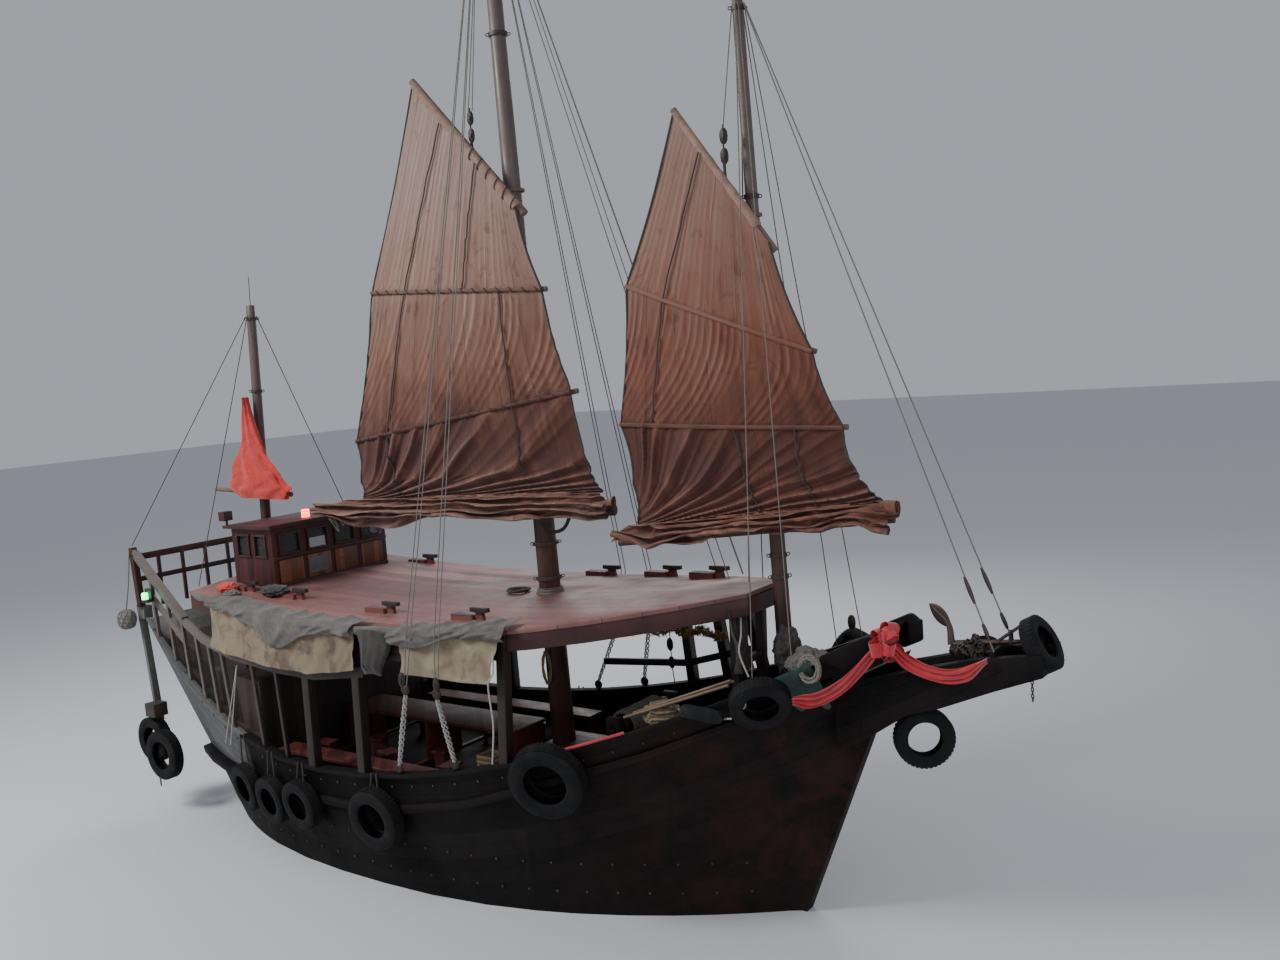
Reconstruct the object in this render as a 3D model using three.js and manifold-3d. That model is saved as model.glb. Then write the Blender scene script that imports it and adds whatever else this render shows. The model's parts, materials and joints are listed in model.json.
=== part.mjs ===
// Chinese junk with three masts, afloat: hull, open deck house, poop, masts, lug sails and gear.
// Units are millimetres. +X points to the bow, +Y to port and +Z up.
// The origin lies on the centreline, amidships, at the waterline.

import * as THREE from 'three';
import { mergeVertices } from 'three/addons/utils/BufferGeometryUtils.js';
import Module from 'manifold-3d';

const wasm = await Module();
wasm.setup();
const { Manifold } = wasm;

// Driving dimensions of the hull
const GAP = 0.3;                 // left where two pieces rest on each other
const STEM_AT_WATER = 6310;      // stem forward of the origin at the waterline
const STERN_AT_WATER = 5450;     // raked transom aft of the origin at the waterline
const STEM_RAKE = 0.424;         // forward lean of the stem for each unit of height
const STERN_RAKE = 0.37;         // aft lean of the transom for each unit of height
const WATER_HALF_BEAM = 2190;
const SHEER_HALF_BEAM = 2470;
const STEM_HEAD_HALF = 550;      // half breadth between the tips of the bow wings
const TRANSOM_HALF = 1600;       // half breadth of the transom at its top
const KEEL_HALF = 90;            // half thickness of keel and stem
const KEEL_DROP = 180;           // how far the keel stands below the planking
const BOTTOM = 1450;             // depth of the planking below the waterline
const SHEER_LOW = 1800;          // height of the rail at its lowest point
const SHEER_LOW_X = -1500;
const MAIN_DECK = 1300;
const FOREDECK_X = 2800;         // where the deck steps up to the foredeck
const FOREDECK_DROP = 500;       // foredeck below the rail
const PLANK = 90;                // thickness of bulwark and quarter planking
const CAP = { width: 190, height: 60 };

// Driving dimensions of the poop, the deck house roof and the wheelhouse
const POOP_FRONT_X = -3100;
const POOP_DECK = 2850;
const POOP_FLAT_TO = -4900;      // aft of this the poop deck rises
const POOP_RISE = 0.3;           // its slope there
const ROOF = { aft: -4560, nose: 5940, half: 2400, crown: 4280, camber: 170, thick: 60, fascia: 240 };
const HOUSE = { front: -3150, aft: -4250, half: 1300, top: 5400, wall: 50 };

// Masts: foot x at the waterline, lean aft in degrees, heights and radii of the taper
const MASTS = {
  main: { x: 2064, lean: 0.85, top: 15800, radii: [[1300, 190], [5300, 190], [13400, 133], [15800, 105]] },
  fore: { x: 6223, lean: 0.7, top: 13000, radii: [[2600, 118], [4200, 114], [9900, 89], [13000, 72]] },
  mizzen: { x: -5249, lean: -2.9, top: 9400, radii: [[2700, 105], [5400, 99], [9130, 84], [9400, 80]] },
};

// Colours, roughness and metalness of the materials
const FINISH = {
  tarredHull: [0x15100d, 0.75, 0], weatheredWood: [0x6f6c66, 0.85, 0], darkWood: [0x231712, 0.7, 0],
  redWood: [0x5a211a, 0.6, 0], roofPaint: [0xa06a5c, 0.55, 0], mastWood: [0x4d221b, 0.5, 0],
  sailcloth: [0x8a4a38, 0.9, 0], furledRed: [0xa3271f, 0.85, 0], spar: [0x7d6a5c, 0.7, 0],
  rubber: [0x1b1b1d, 0.85, 0], iron: [0x2b2c2e, 0.6, 0.6], rope: [0x8d8574, 0.9, 0],
  banner: [0xa08d66, 0.9, 0], bronze: [0x8a6a3a, 0.4, 0.9],
};

// Solids: from a three.js geometry to a body that can be joined and cut, and back

// A closed geometry as a body; its triangles are turned round where they face inwards
function solid(geometry) {
  const bare = geometry.clone();
  for (const name of Object.keys(bare.attributes)) {
    if (name !== 'position') bare.deleteAttribute(name);
  }
  const merged = mergeVertices(bare, 1e-3);
  const corner = (i) => new THREE.Vector3().fromBufferAttribute(merged.attributes.position, i);
  const faces = [];
  let volume = 0;
  for (let i = 0; i < merged.index.count; i += 3) {
    const [a, b, c] = [0, 1, 2].map((k) => merged.index.getX(i + k));
    if (a === b || b === c || c === a) continue;
    faces.push([a, b, c]);
    volume += corner(a).dot(corner(b).cross(corner(c)));
  }
  return new Manifold(new wasm.Mesh({
    numProp: 3,
    vertProperties: new Float32Array(merged.attributes.position.array),
    triVerts: new Uint32Array(faces.flatMap(([a, b, c]) => (volume < 0 ? [a, c, b] : [a, b, c]))),
  }));
}

function geometryOf(body) {
  const { vertProperties, triVerts, numProp } = body.getMesh();
  const positions = new Float32Array((vertProperties.length / numProp) * 3);
  for (let v = 0; v < positions.length / 3; v += 1) {
    for (let k = 0; k < 3; k += 1) positions[v * 3 + k] = vertProperties[v * numProp + k];
  }
  const geometry = new THREE.BufferGeometry();
  geometry.setAttribute('position', new THREE.BufferAttribute(positions, 3));
  geometry.setIndex(new THREE.BufferAttribute(new Uint32Array(triVerts), 1));
  geometry.computeVertexNormals();
  return geometry;
}

const join = (...bodies) => bodies.flat().reduce((a, b) => a.add(b));
const moved = (body, x, y, z) => body.translate(x, y, z);

function box(x0, x1, y0, y1, z0, z1) {
  const geometry = new THREE.BoxGeometry(x1 - x0, y1 - y0, z1 - z0);
  return solid(geometry.translate((x0 + x1) / 2, (y0 + y1) / 2, (z0 + z1) / 2));
}

// A round bar from a to b, each an [x, y, z], with its own radius at each end
function bar(a, b, ra, rb = ra, sides = 8) {
  const from = new THREE.Vector3(...a);
  const to = new THREE.Vector3(...b);
  const along = to.clone().sub(from);
  const geometry = new THREE.CylinderGeometry(rb, ra, along.length(), sides);
  const upright = new THREE.Vector3(0, 1, 0);
  geometry.applyQuaternion(new THREE.Quaternion().setFromUnitVectors(upright, along.clone().normalize()));
  return solid(geometry.translate(...from.add(to).multiplyScalar(0.5).toArray()));
}

// A rectangular beam from a to b, `wide` across and `high` upright, with square ends
function beam(a, b, wide, high) {
  const from = new THREE.Vector3(...a);
  const to = new THREE.Vector3(...b);
  const along = to.clone().sub(from);
  const length = along.length();
  along.normalize();
  const upright = Math.abs(along.z) > 0.9 ? new THREE.Vector3(1, 0, 0) : new THREE.Vector3(0, 0, 1);
  const across = upright.clone().cross(along).normalize();
  const up = along.clone().cross(across);
  const frame = new THREE.Matrix4().makeBasis(along, across, up);
  frame.setPosition(from.add(to).multiplyScalar(0.5));
  return solid(new THREE.BoxGeometry(length, wide, high).applyMatrix4(frame));
}

// A solid of revolution about +Z. The profile is a closed loop of [radius, height].
function turned(profile, sides = 20) {
  const loop = [...profile, profile[0]].map(([r, z]) => new THREE.Vector2(r, z));
  return solid(new THREE.LatheGeometry(loop, sides).rotateX(Math.PI / 2));
}

// A plate cut to an outline of [x, z] points, standing between y0 and y1
function plate(outline, y0, y1) {
  const shape = new THREE.Shape(outline.map(([x, z]) => new THREE.Vector2(x, z)));
  const geometry = new THREE.ExtrudeGeometry(shape, { depth: y1 - y0, bevelEnabled: false });
  return solid(geometry.rotateX(Math.PI / 2).translate(0, y1, 0));
}

// Skins a row of rings, each a closed loop of as many [x, y, z] points, and closes both ends
function loft(rings) {
  const count = rings[0].length;
  const positions = rings.flat().flat();
  const index = [];
  for (let i = 0; i + 1 < rings.length; i += 1) {
    for (let j = 0; j < count; j += 1) {
      const [a, b] = [i * count + j, i * count + ((j + 1) % count)];
      index.push(a, b, a + count, b, b + count, a + count);
    }
  }
  const capOf = (ring) => {
    const flat = ring.map((p) => new THREE.Vector2(p[1], p[2]));
    const faces = THREE.ShapeUtils.triangulateShape(flat, []);
    return THREE.ShapeUtils.area(flat) > 0 ? faces : faces.map(([a, b, c]) => [a, c, b]);
  };
  for (const [a, b, c] of capOf(rings[0])) index.push(a, c, b);
  const last = (rings.length - 1) * count;
  for (const [a, b, c] of capOf(rings[rings.length - 1])) index.push(last + a, last + b, last + c);
  const geometry = new THREE.BufferGeometry();
  geometry.setAttribute('position', new THREE.BufferAttribute(new Float32Array(positions), 3));
  geometry.setIndex(index);
  return solid(geometry);
}

// Thickens a grid of points, rows by columns, by `thick` along the direction `way`
function sheet(grid, way, thick) {
  const [rows, cols] = [grid.length, grid[0].length];
  const shift = way.map((v) => (v * thick) / 2);
  const faces = [1, -1].map((s) => grid.flat().map((p) => p.map((v, k) => v + s * shift[k])));
  const index = [];
  const back = rows * cols;
  const quad = (a, b, c, d) => index.push(a, b, c, a, c, d);
  for (let r = 0; r + 1 < rows; r += 1) {
    for (let c = 0; c + 1 < cols; c += 1) {
      const a = r * cols + c;
      quad(a, a + 1, a + cols + 1, a + cols);
      quad(back + a, back + a + cols, back + a + cols + 1, back + a + 1);
    }
  }
  const rim = [];
  for (let c = 0; c + 1 < cols; c += 1) rim.push(c);
  for (let r = 0; r + 1 < rows; r += 1) rim.push(r * cols + cols - 1);
  for (let c = cols - 1; c > 0; c -= 1) rim.push((rows - 1) * cols + c);
  for (let r = rows - 1; r > 0; r -= 1) rim.push(r * cols);
  rim.forEach((a, i) => {
    const b = rim[(i + 1) % rim.length];
    quad(b, a, back + a, back + b);
  });
  const geometry = new THREE.BufferGeometry();
  geometry.setAttribute('position', new THREE.BufferAttribute(new Float32Array(faces.flat().flat()), 3));
  geometry.setIndex(index);
  return solid(geometry);
}

// The scene graph

const ship = new THREE.Group();
const bodies = {};

function put(name, body, finish, parent = ship) {
  const [color, roughness, metalness] = FINISH[finish];
  const material = new THREE.MeshStandardMaterial({ color, roughness, metalness });
  const mesh = new THREE.Mesh(geometryOf(body), material);
  mesh.name = name;
  bodies[name] = body;
  parent.add(mesh);
  return mesh;
}

// A body of the ship's frame as it stands inside a turned group
function seenFrom(group, body) {
  ship.updateMatrixWorld(true);
  return body.transform(group.matrixWorld.clone().invert().elements);
}

// Cuts a neighbour out of a body, and again shifted by each of the given steps, so that a gap stays between
function clear(body, neighbour, ...steps) {
  return steps.reduce((out, step) => out.subtract(neighbour.translate(step)), body.subtract(neighbour));
}

// The same inside a turned group, for a neighbour in the ship's frame
function clearIn(group, body, neighbour, ...steps) {
  return clear(body, seenFrom(group, neighbour), ...steps);
}

// Keeps the largest piece where a cut has left crumbs
function largest(body) {
  const pieces = body.decompose();
  return pieces.reduce((best, piece) => (piece.volume() > best.volume() ? piece : best), pieces[0]);
}

// The shape of the hull. Stations are named by their x at the waterline and lean towards both ends.

const lerp = (a, b, t) => a + (b - a) * t;
const clamp01 = (t) => Math.min(1, Math.max(0, t));

function along(table, at) {
  const last = table.length - 1;
  if (at <= table[0][0]) return table[0][1];
  for (let i = 0; i < last; i += 1) {
    const [[a, va], [b, vb]] = [table[i], table[i + 1]];
    if (at <= b) return lerp(va, vb, (at - a) / (b - a));
  }
  return table[last][1];
}

function stationRake(station) {
  if (station > 0) return STEM_RAKE * (station / STEM_AT_WATER) ** 2;
  return -STERN_RAKE * (station / STERN_AT_WATER) ** 2;
}

const stationX = (station, z) => station + stationRake(station) * z;

function stationAt(x, z) {
  let station = x;
  for (let i = 0; i < 30; i += 1) station = x - stationRake(station) * z;
  return station;
}

// Height of the top of the planking above the waterline: low amidships, high at both ends
function sheer(x) {
  if (x > SHEER_LOW_X) return SHEER_LOW + 2310 * ((x - SHEER_LOW_X) / 9240) ** 1.9;
  return SHEER_LOW + 2000 * ((SHEER_LOW_X - x) / 5500) ** 2;
}

function sheerOf(station) {
  let z = sheer(station);
  for (let i = 0; i < 12; i += 1) z = sheer(stationX(station, z));
  return z;
}

const deckOf = (station) => (station > FOREDECK_X ? sheerOf(station) - FOREDECK_DROP : MAIN_DECK);

function halfBreadth(station, z) {
  const t = station > 0 ? station / STEM_AT_WATER : -station / STERN_AT_WATER;
  const atWater = station > 0 ? WATER_HALF_BEAM * (1 - t ** 2.2) : WATER_HALF_BEAM * (1 - 0.6 * t ** 2.6);
  const sheerEnd = station > 0 ? STEM_HEAD_HALF : TRANSOM_HALF;
  const atSheer = SHEER_HALF_BEAM - (SHEER_HALF_BEAM - sheerEnd) * t ** (station > 0 ? 2.6 : 2);
  if (z < 0) {
    const up = clamp01((z + bottomOf(station)) / bottomOf(station));
    return Math.max(KEEL_HALF, atWater * (1 - (1 - up) ** lerp(2.6, 1.4, t)));
  }
  const flare = station > 0 ? 1 + 5 * t ** 4 : 1;
  return Math.max(KEEL_HALF, lerp(atWater, atSheer, (z / sheerOf(station)) ** flare));
}

// Depth of the planking: full amidships, rising to the stem and over the propeller
function bottomOf(station) {
  if (station > 3500) return BOTTOM - 330 * ((station - 3500) / (STEM_AT_WATER - 3500)) ** 2;
  if (station < -2800) return BOTTOM - 950 * ((-station - 2800) / (STERN_AT_WATER - 2800)) ** 1.5;
  return BOTTOM;
}

const sideY = (x, z) => halfBreadth(stationAt(x, z), z);

const BREAK_X = -3020;            // where the bulwark ends and the quarter planking begins
const HULL_STATIONS = [-5450, -5100, -4600, -4100, -3600, -3300, BREAK_X - 1, BREAK_X, -2000, -1000, 0,
  1000, 2000, FOREDECK_X, FOREDECK_X + 1, 3400, 4100, 4700, 5200, 5600, 5900, 6080, 6230, STEM_AT_WATER];
const TOPSIDE = [0, 0.3, 0.55, 0.8, 1];
const PLANK_MID = 0.55;           // where the upper planking bends, as a share of its height

function bothSides(half, xAt) {
  const port = half.map(([y, z]) => [xAt(z), y, z]);
  const starboard = half.map(([y, z]) => [xAt(z), -y, z]).reverse();
  return [...port, ...starboard];
}

function hullRing(station) {
  const low = -bottomOf(station);
  const deck = deckOf(station);
  const heights = [0.02, 0.08, 0.18, 0.32, 0.5, 0.74].map((t) => lerp(low, 0, t));
  heights.push(...TOPSIDE.map((t) => lerp(0, deck, t)));
  const planking = heights.map((z) => [halfBreadth(station, z), z]);
  const half = [[KEEL_HALF, low - KEEL_DROP], [KEEL_HALF, low], ...planking];
  return bothSides(half, (z) => stationX(station, z));
}

// The room that the ship's sides fill, from below the water to the rail: what hangs outside is cut by it
function sidesRoom(grow) {
  return loft(HULL_STATIONS.map((station) => {
    const [deck, top] = [deckOf(station), sheerOf(station)];
    const base = deck + GAP;
    const heights = [-400, ...TOPSIDE.map((t) => lerp(0, deck, t))];
    heights.push(base, lerp(base, top, PLANK_MID), top - CAP.height);
    return bothSides(heights.map((z) => [halfBreadth(station, z) + grow, z]), (z) => stationX(station, z));
  }));
}

// Beak: the platform ahead of the stem, two deep side beams with a floor between them
const BEAK = {
  heel: 7150, tip: 9840, halfHeel: 500, halfTip: 370, side: 110, floorDrop: 120,
  under: [[7150, 2600], [7460, 2700], [8130, 3140], [8570, 3270], [9240, 3540], [9840, 3760]],
  over: [[7150, 3460], [8000, 3660], [9000, 3920], [9840, 4040]],
};

function beakShape(grow) {
  const over = [...BEAK.over].reverse().map(([x, z]) => [x, z + grow]);
  const outline = [...BEAK.under.map(([x, z]) => [x, z - grow]), ...over];
  outline[0][0] -= grow;
  outline[outline.length - 1][0] -= grow;
  const whole = plate(outline, -BEAK.halfHeel - grow, BEAK.halfHeel + grow);
  const taper = Math.atan2(BEAK.halfHeel - BEAK.halfTip, BEAK.tip - BEAK.heel);
  const trim = (side) => {
    const cut = box(-200, 4000, 0, 1000, -3000, 3000);
    const turn = new THREE.Matrix4().makeRotationZ(-taper).setPosition(BEAK.heel, BEAK.halfHeel + grow, 3300);
    const body = cut.transform(turn.elements);
    return side > 0 ? body : body.mirror([0, 1, 0]);
  };
  return whole.subtract(trim(1)).subtract(trim(-1));
}

function beakFloorCut() {
  const top = BEAK.over.map(([x, z]) => [x, z - BEAK.floorDrop]);
  const outline = [[7000, 3300], ...top, [BEAK.tip + 50, top[3][1]], [BEAK.tip + 50, 4500], [7000, 4500]];
  const well = plate(outline, -BEAK.halfTip + BEAK.side, BEAK.halfTip - BEAK.side);
  return well;
}

// Propeller and rudder sizes, used by the hull for the stern gear
const SHAFT = { z: -1280, radius: 38, propX: -5000, bossFrom: -3700, bossTo: -4550 };
const RUDDER = { x: -5850, lean: Math.atan(0.3), stock: 75, play: 3, gudgeons: [700, 2700] };

function buildHull() {
  const shell = loft(HULL_STATIONS.map(hullRing));
  const boss = bar([SHAFT.bossFrom, 0, SHAFT.z], [SHAFT.bossTo, 0, SHAFT.z], 110, 80, 16);
  return shell.add(boss).subtract(beakShape(GAP));
}

const hull = buildHull();

// Bulwarks and quarters: planking above the deck with a cap rail
function sidePlanking(stations, side, cap) {
  const rings = stations.map((station) => {
    const top = sheerOf(station);
    const base = Math.max(deckOf(station) + GAP, 0);
    const out = (z) => halfBreadth(station, z);
    const at = (y, z) => [stationX(station, z), side * y, z];
    const mid = lerp(base, top, PLANK_MID);
    const under = top - CAP.height;
    const capOut = out(top) + (cap ? 45 : 0);
    const capIn = out(top) + (cap ? 45 - CAP.width : -PLANK);
    return [at(out(base), base), at(out(mid), mid), at(out(under), under), at(capOut, under + 1),
      at(capOut, top), at(capIn, top), at(capIn, under + 1), at(out(under) - PLANK, under),
      at(out(mid) - PLANK, mid), at(out(base) - PLANK, base)];
  });
  return loft(rings);
}

const beakRoom = beakShape(GAP);
const BULWARK_STATIONS = HULL_STATIONS.filter((station) => station >= BREAK_X && station <= 6080);
const SIDES = [['starboard', -1], ['port', 1]];
const bulwarks = {};
for (const [name, side] of SIDES) {
  const planking = sidePlanking(BULWARK_STATIONS, side, true).subtract(beakRoom);
  bulwarks[name] = largest(clear(planking, hull, [0, 0, GAP], [-GAP, 0, 0]));
  put(`bulwark_${name}`, bulwarks[name], 'tarredHull');
}

const QUARTER_STATIONS = HULL_STATIONS.filter((station) => station < BREAK_X);
const quarters = {};
for (const [name, side] of SIDES) {
  quarters[name] = largest(clear(sidePlanking(QUARTER_STATIONS, side, false), hull, [0, 0, GAP]));
  put(`quarter_planking_${name}`, quarters[name], 'weatheredWood');
}

// A cross beam on the beak carries the anchor's shank
const ANCHOR_BED = { from: 9190, to: 9250, half: 330, low: 3900, top: 4026 };

function buildBeak() {
  const { from, to, half, low, top } = ANCHOR_BED;
  return beakShape(0).subtract(beakFloorCut()).add(box(from, to, -half, half, low, top));
}

put('beak', buildBeak(), 'tarredHull');

// Poop: the raised block under the poop deck, its transom and the rails
function poopDeck(x) {
  return POOP_DECK + (x < POOP_FLAT_TO ? POOP_RISE * (POOP_FLAT_TO - x) : 0);
}

// Rings lean with the stations, except the front one, which is upright
function buildPoop() {
  const inset = 420;
  const flatEnd = stationAt(POOP_FLAT_TO, POOP_DECK);
  const rings = [-5330, -5000, -4600, flatEnd, -3900, -3500].map((station) => ({ station,
    xAt: (z) => stationX(station, z) }));
  rings.push({ station: POOP_FRONT_X, xAt: () => POOP_FRONT_X });
  return loft(rings.map(({ station, xAt }) => {
    const top = poopDeck(xAt(POOP_DECK));
    const step = Math.min(sheerOf(station) - 150, top - 50);
    const inner = (z) => halfBreadth(station, z) - PLANK - 6;
    const base = MAIN_DECK + GAP;
    const shoulder = Math.min(halfBreadth(station, top) - inset, inner(step) - 20);
    const mid = lerp(base, step, 0.5);
    return bothSides([[inner(base), base], [inner(mid), mid], [inner(step), step], [shoulder, step],
      [shoulder, top]], xAt);
  }));
}

function insidePlanking(body) {
  return SIDES.reduce((out, [name, side]) => clear(out, quarters[name], [0, -side * GAP, 0]), body);
}

const poop = largest(insidePlanking(buildPoop()));
put('poop_block', poop, 'darkWood');

function buildTransom() {
  return loft([-5448, -5340].map((station) => {
    const top = sheerOf(station) - 20;
    const heights = [MAIN_DECK + GAP, lerp(MAIN_DECK, top, 0.5), top];
    const half = heights.map((z) => [halfBreadth(station, z) - PLANK - 4, z]);
    return bothSides(half, (z) => stationX(station, z));
  }));
}

// Rings that hold the rudder stock, on arms from the transom
function gudgeon(height) {
  const inner = RUDDER.stock + RUDDER.play;
  const ring = turned([[inner, -50], [inner + 45, -50], [inner + 45, 50], [inner, 50]], 20);
  return moved(ring, 0, 0, height).add(box(inner + 20, 520, -60, 60, height - 50, height + 50));
}

const rudderPost = new THREE.Group();
rudderPost.position.set(RUDDER.x, 0, 0);
rudderPost.rotation.y = -RUDDER.lean;
ship.add(rudderPost);
ship.updateMatrixWorld(true);

const inShip = (group, body) => body.transform(group.matrixWorld.elements);
const [lowRing, highRing] = RUDDER.gudgeons.map((height) => inShip(rudderPost, gudgeon(height)));
const transomBody = clear(insidePlanking(buildTransom()).add(highRing), poop, [-GAP, 0, 0]);
const transom = largest(clear(transomBody, hull, [0, 0, GAP]));
put('transom', transom, 'weatheredWood');
put('hull', hull.add(lowRing), 'tarredHull');

// Rudder: a broad blade with lozenge holes, hung on a raked stock with a tiller on top
function buildRudder() {
  const blade = { fore: 60, aft: -930, low: -1560, high: 1250, half: 40 };
  const outline = [[blade.fore, blade.low + 160], [-200, blade.low], [blade.aft + 80, blade.low + 60],
    [blade.aft, blade.low + 300], [blade.aft + 150, blade.high - 200], [-500, blade.high],
    [blade.fore, blade.high]];
  let body = plate(outline, -blade.half, blade.half);
  body = body.add(bar([0, 0, blade.low + 300], [0, 0, 3950], RUDDER.stock, RUDDER.stock, 20));
  const lozenge = [[-60, 0], [0, 110], [60, 0], [0, -110]];
  for (const x of [-320, -520, -720]) {
    for (const z of [-1150, -800, -450]) {
      body = body.subtract(plate(lozenge.map(([dx, dz]) => [x + dx, z + dz]), -100, 100));
    }
  }
  for (const height of RUDDER.gudgeons) {
    const notch = [[RUDDER.stock, -75], [140, -75], [140, 50 + GAP], [RUDDER.stock, 50 + GAP]];
    body = body.subtract(turned(notch, 20).translate(0, 0, height));
  }
  const tiller = beam([-40, 0, 3860], [1300, 0, 3990], 90, 90);
  return body.add(tiller);
}

put('rudder', buildRudder(), 'darkWood', rudderPost);

// Propeller: a hub and four twisted blades on the shaft, clear of the boss by the running gap
function buildPropeller() {
  let body = bar([0, 0, 0], [SHAFT.bossTo - SHAFT.propX - GAP, 0, 0], SHAFT.radius, SHAFT.radius, 16);
  body = body.add(bar([-130, 0, 0], [90, 0, 0], 50, 82, 16));
  for (let k = 0; k < 4; k += 1) {
    const blade = new THREE.BoxGeometry(26, 190, 300, 1, 1, 3).translate(0, 0, 205);
    const p = blade.attributes.position;
    for (let i = 0; i < p.count; i += 1) {
      const reach = p.getZ(i) / 355;
      const turn = 1.15 - 0.55 * reach;
      const wide = p.getY(i) * (0.55 + 0.7 * Math.sin(Math.PI * Math.min(1, reach)));
      const thick = p.getX(i) * (1.3 - 0.7 * reach);
      const [c, s] = [Math.cos(turn), Math.sin(turn)];
      p.setXYZ(i, c * thick - s * wide, s * thick + c * wide, p.getZ(i));
    }
    blade.rotateX((k * Math.PI) / 2);
    body = body.add(solid(blade));
  }
  return body;
}

const shaftLine = new THREE.Group();
shaftLine.position.set(SHAFT.propX, 0, SHAFT.z);
ship.add(shaftLine);
put('propeller', buildPropeller(), 'bronze', shaftLine);

// Deck house roof: a cambered deck on posts, with a deep fascia under its edge
function roofHalf(x) {
  if (x > 1000) return ROOF.half * (1 - 0.78 * ((x - 1000) / (ROOF.nose - 1000)) ** 1.9);
  return ROOF.half - (x < -1000 ? 330 * ((-1000 - x) / 3500) ** 1.5 : 0);
}

const roofZ = (x, y) => ROOF.crown + 1e-5 * (x - 210) ** 2 - ROOF.camber * (y / ROOF.half) ** 2;
const ROOF_X = [ROOF.aft, -4000, -3200, -2200, -1100, 0, 1000, 1800, 2600, 3300, 4000, 4600, 5100, 5500, 5780,
  ROOF.nose];
const ACROSS = [-1, -0.8, -0.55, -0.28, 0, 0.28, 0.55, 0.8, 1];

function buildRoofDeck() {
  return loft(ROOF_X.map((x) => {
    const half = roofHalf(x);
    const over = ACROSS.map((t) => [x, t * half, roofZ(x, t * half)]);
    const under = [...ACROSS].reverse().map((t) => [x, t * half, roofZ(x, t * half) - ROOF.thick]);
    return [...over, ...under];
  }));
}

// Cleats on the roof, each with a pad beside it: x, side and distance in from the roof's edge
const ROOF_CLEATS = [
  { x: -3480, side: -1, inset: 640 }, { x: -2200, side: -1, inset: 800 }, { x: 120, side: -1, inset: 760 },
  { x: 2060, side: -1, inset: 620 }, { x: -2500, side: 1, inset: 520 }, { x: 1800, side: 1, inset: 460 },
  { x: 3150, side: 1, inset: 260 }, { x: 4380, side: 1, inset: 230 },
];
const PAD = { long: 430, wide: 170, high: 75 };

function cleatOnRoof({ x, side, inset }) {
  const y = side * (roofHalf(x) - inset);
  const z = roofZ(x, y);
  const pad = box(x - 520, x - 520 + PAD.long, y - PAD.wide / 2, y + PAD.wide / 2, z - 30, z + PAD.high);
  const outline = [[-90, -30], [90, -30], [60, 110], [175, 125], [170, 185], [-170, 185], [-175, 125],
    [-60, 110]];
  return join(pad, plate(outline.map(([dx, dz]) => [x + dx, z + dz]), y - 34, y + 34));
}

const mastX = (mast, z) => mast.x - Math.tan(THREE.MathUtils.degToRad(mast.lean)) * z;
const mastHole = bar([mastX(MASTS.main, 4000), 0, 4000], [mastX(MASTS.main, 4600), 0, 4600], 232, 232, 24);
const houseWell = box(HOUSE.aft - 12, HOUSE.front + 12, -HOUSE.half - 12, HOUSE.half + 12, 3800, 5000);
const roofBody = join(buildRoofDeck(), ROOF_CLEATS.map(cleatOnRoof)).subtract(mastHole).subtract(houseWell);
put('roof', roofBody, 'roofPaint');

function buildFascia() {
  const band = (side) => loft(ROOF_X.map((x) => {
    const edge = roofHalf(x) - 8;
    const z = roofZ(x, roofHalf(x)) - ROOF.thick - 4;
    return [[x, side * edge, z], [x, side * edge, z - ROOF.fascia], [x, side * (edge - 70), z - ROOF.fascia],
      [x, side * (edge - 70), z + 3]];
  }));
  const cross = (x0, x1, inset) => {
    const z = roofZ(x0, roofHalf(x0)) - ROOF.thick - 4;
    return box(x0, x1, -roofHalf(x1) + inset, roofHalf(x1) - inset, z - ROOF.fascia, z);
  };
  const nose = cross(ROOF.nose - 90, ROOF.nose - 20, 30);
  const tail = cross(ROOF.aft + 10, ROOF.aft + 80, 40);
  return clear(join(band(-1), band(1), nose, tail), buildRoofDeck(), [0, 0, -GAP]);
}

const fascia = buildFascia();
put('roof_fascia', fascia, 'redWood');

// Quarter rail: one board from the top of the stern down and forward to amidships: x, z, half breadth
const QUARTER_RAIL = [[-6975, 4880, 1610], [-5900, 4240, 1800], [-5000, 3760, 1960], [-4300, 3560, 2110],
  [-3200, 3430, 2330], [-1900, 3350, 2440], [-900, 3330, 2455], [260, 3480, 2450]];
const STANCHIONS = [-6350, -5700, -5150, -4600, -4100, -3600, -2600, -1900];
const RAIL = { high: 170, thick: 62 };

// Where the big posts stand: those on the rail's board at each side, and the rest to port
const POSTS = {
  starboard: [-1150, 60, 2840],
  quarterPort: [-1150, 60],
  forePort: [1300, 2320, 3140, 3980, 4780],
};
const POST_WIDE = 150;

function postUp(x, side) {
  const foot = [x, side * (sideY(x, sheer(x)) - PLANK / 2), sheer(x) - 80];
  const head = [x, side * (roofHalf(x) - 50), roofZ(x, roofHalf(x)) - ROOF.thick];
  return beam(foot, head, POST_WIDE, POST_WIDE);
}

const railZ = (x) => along(QUARTER_RAIL.map(([rx, z]) => [rx, z]), x);
const railY = (x) => along(QUARTER_RAIL.map(([rx, , y]) => [rx, y]), x);

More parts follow.
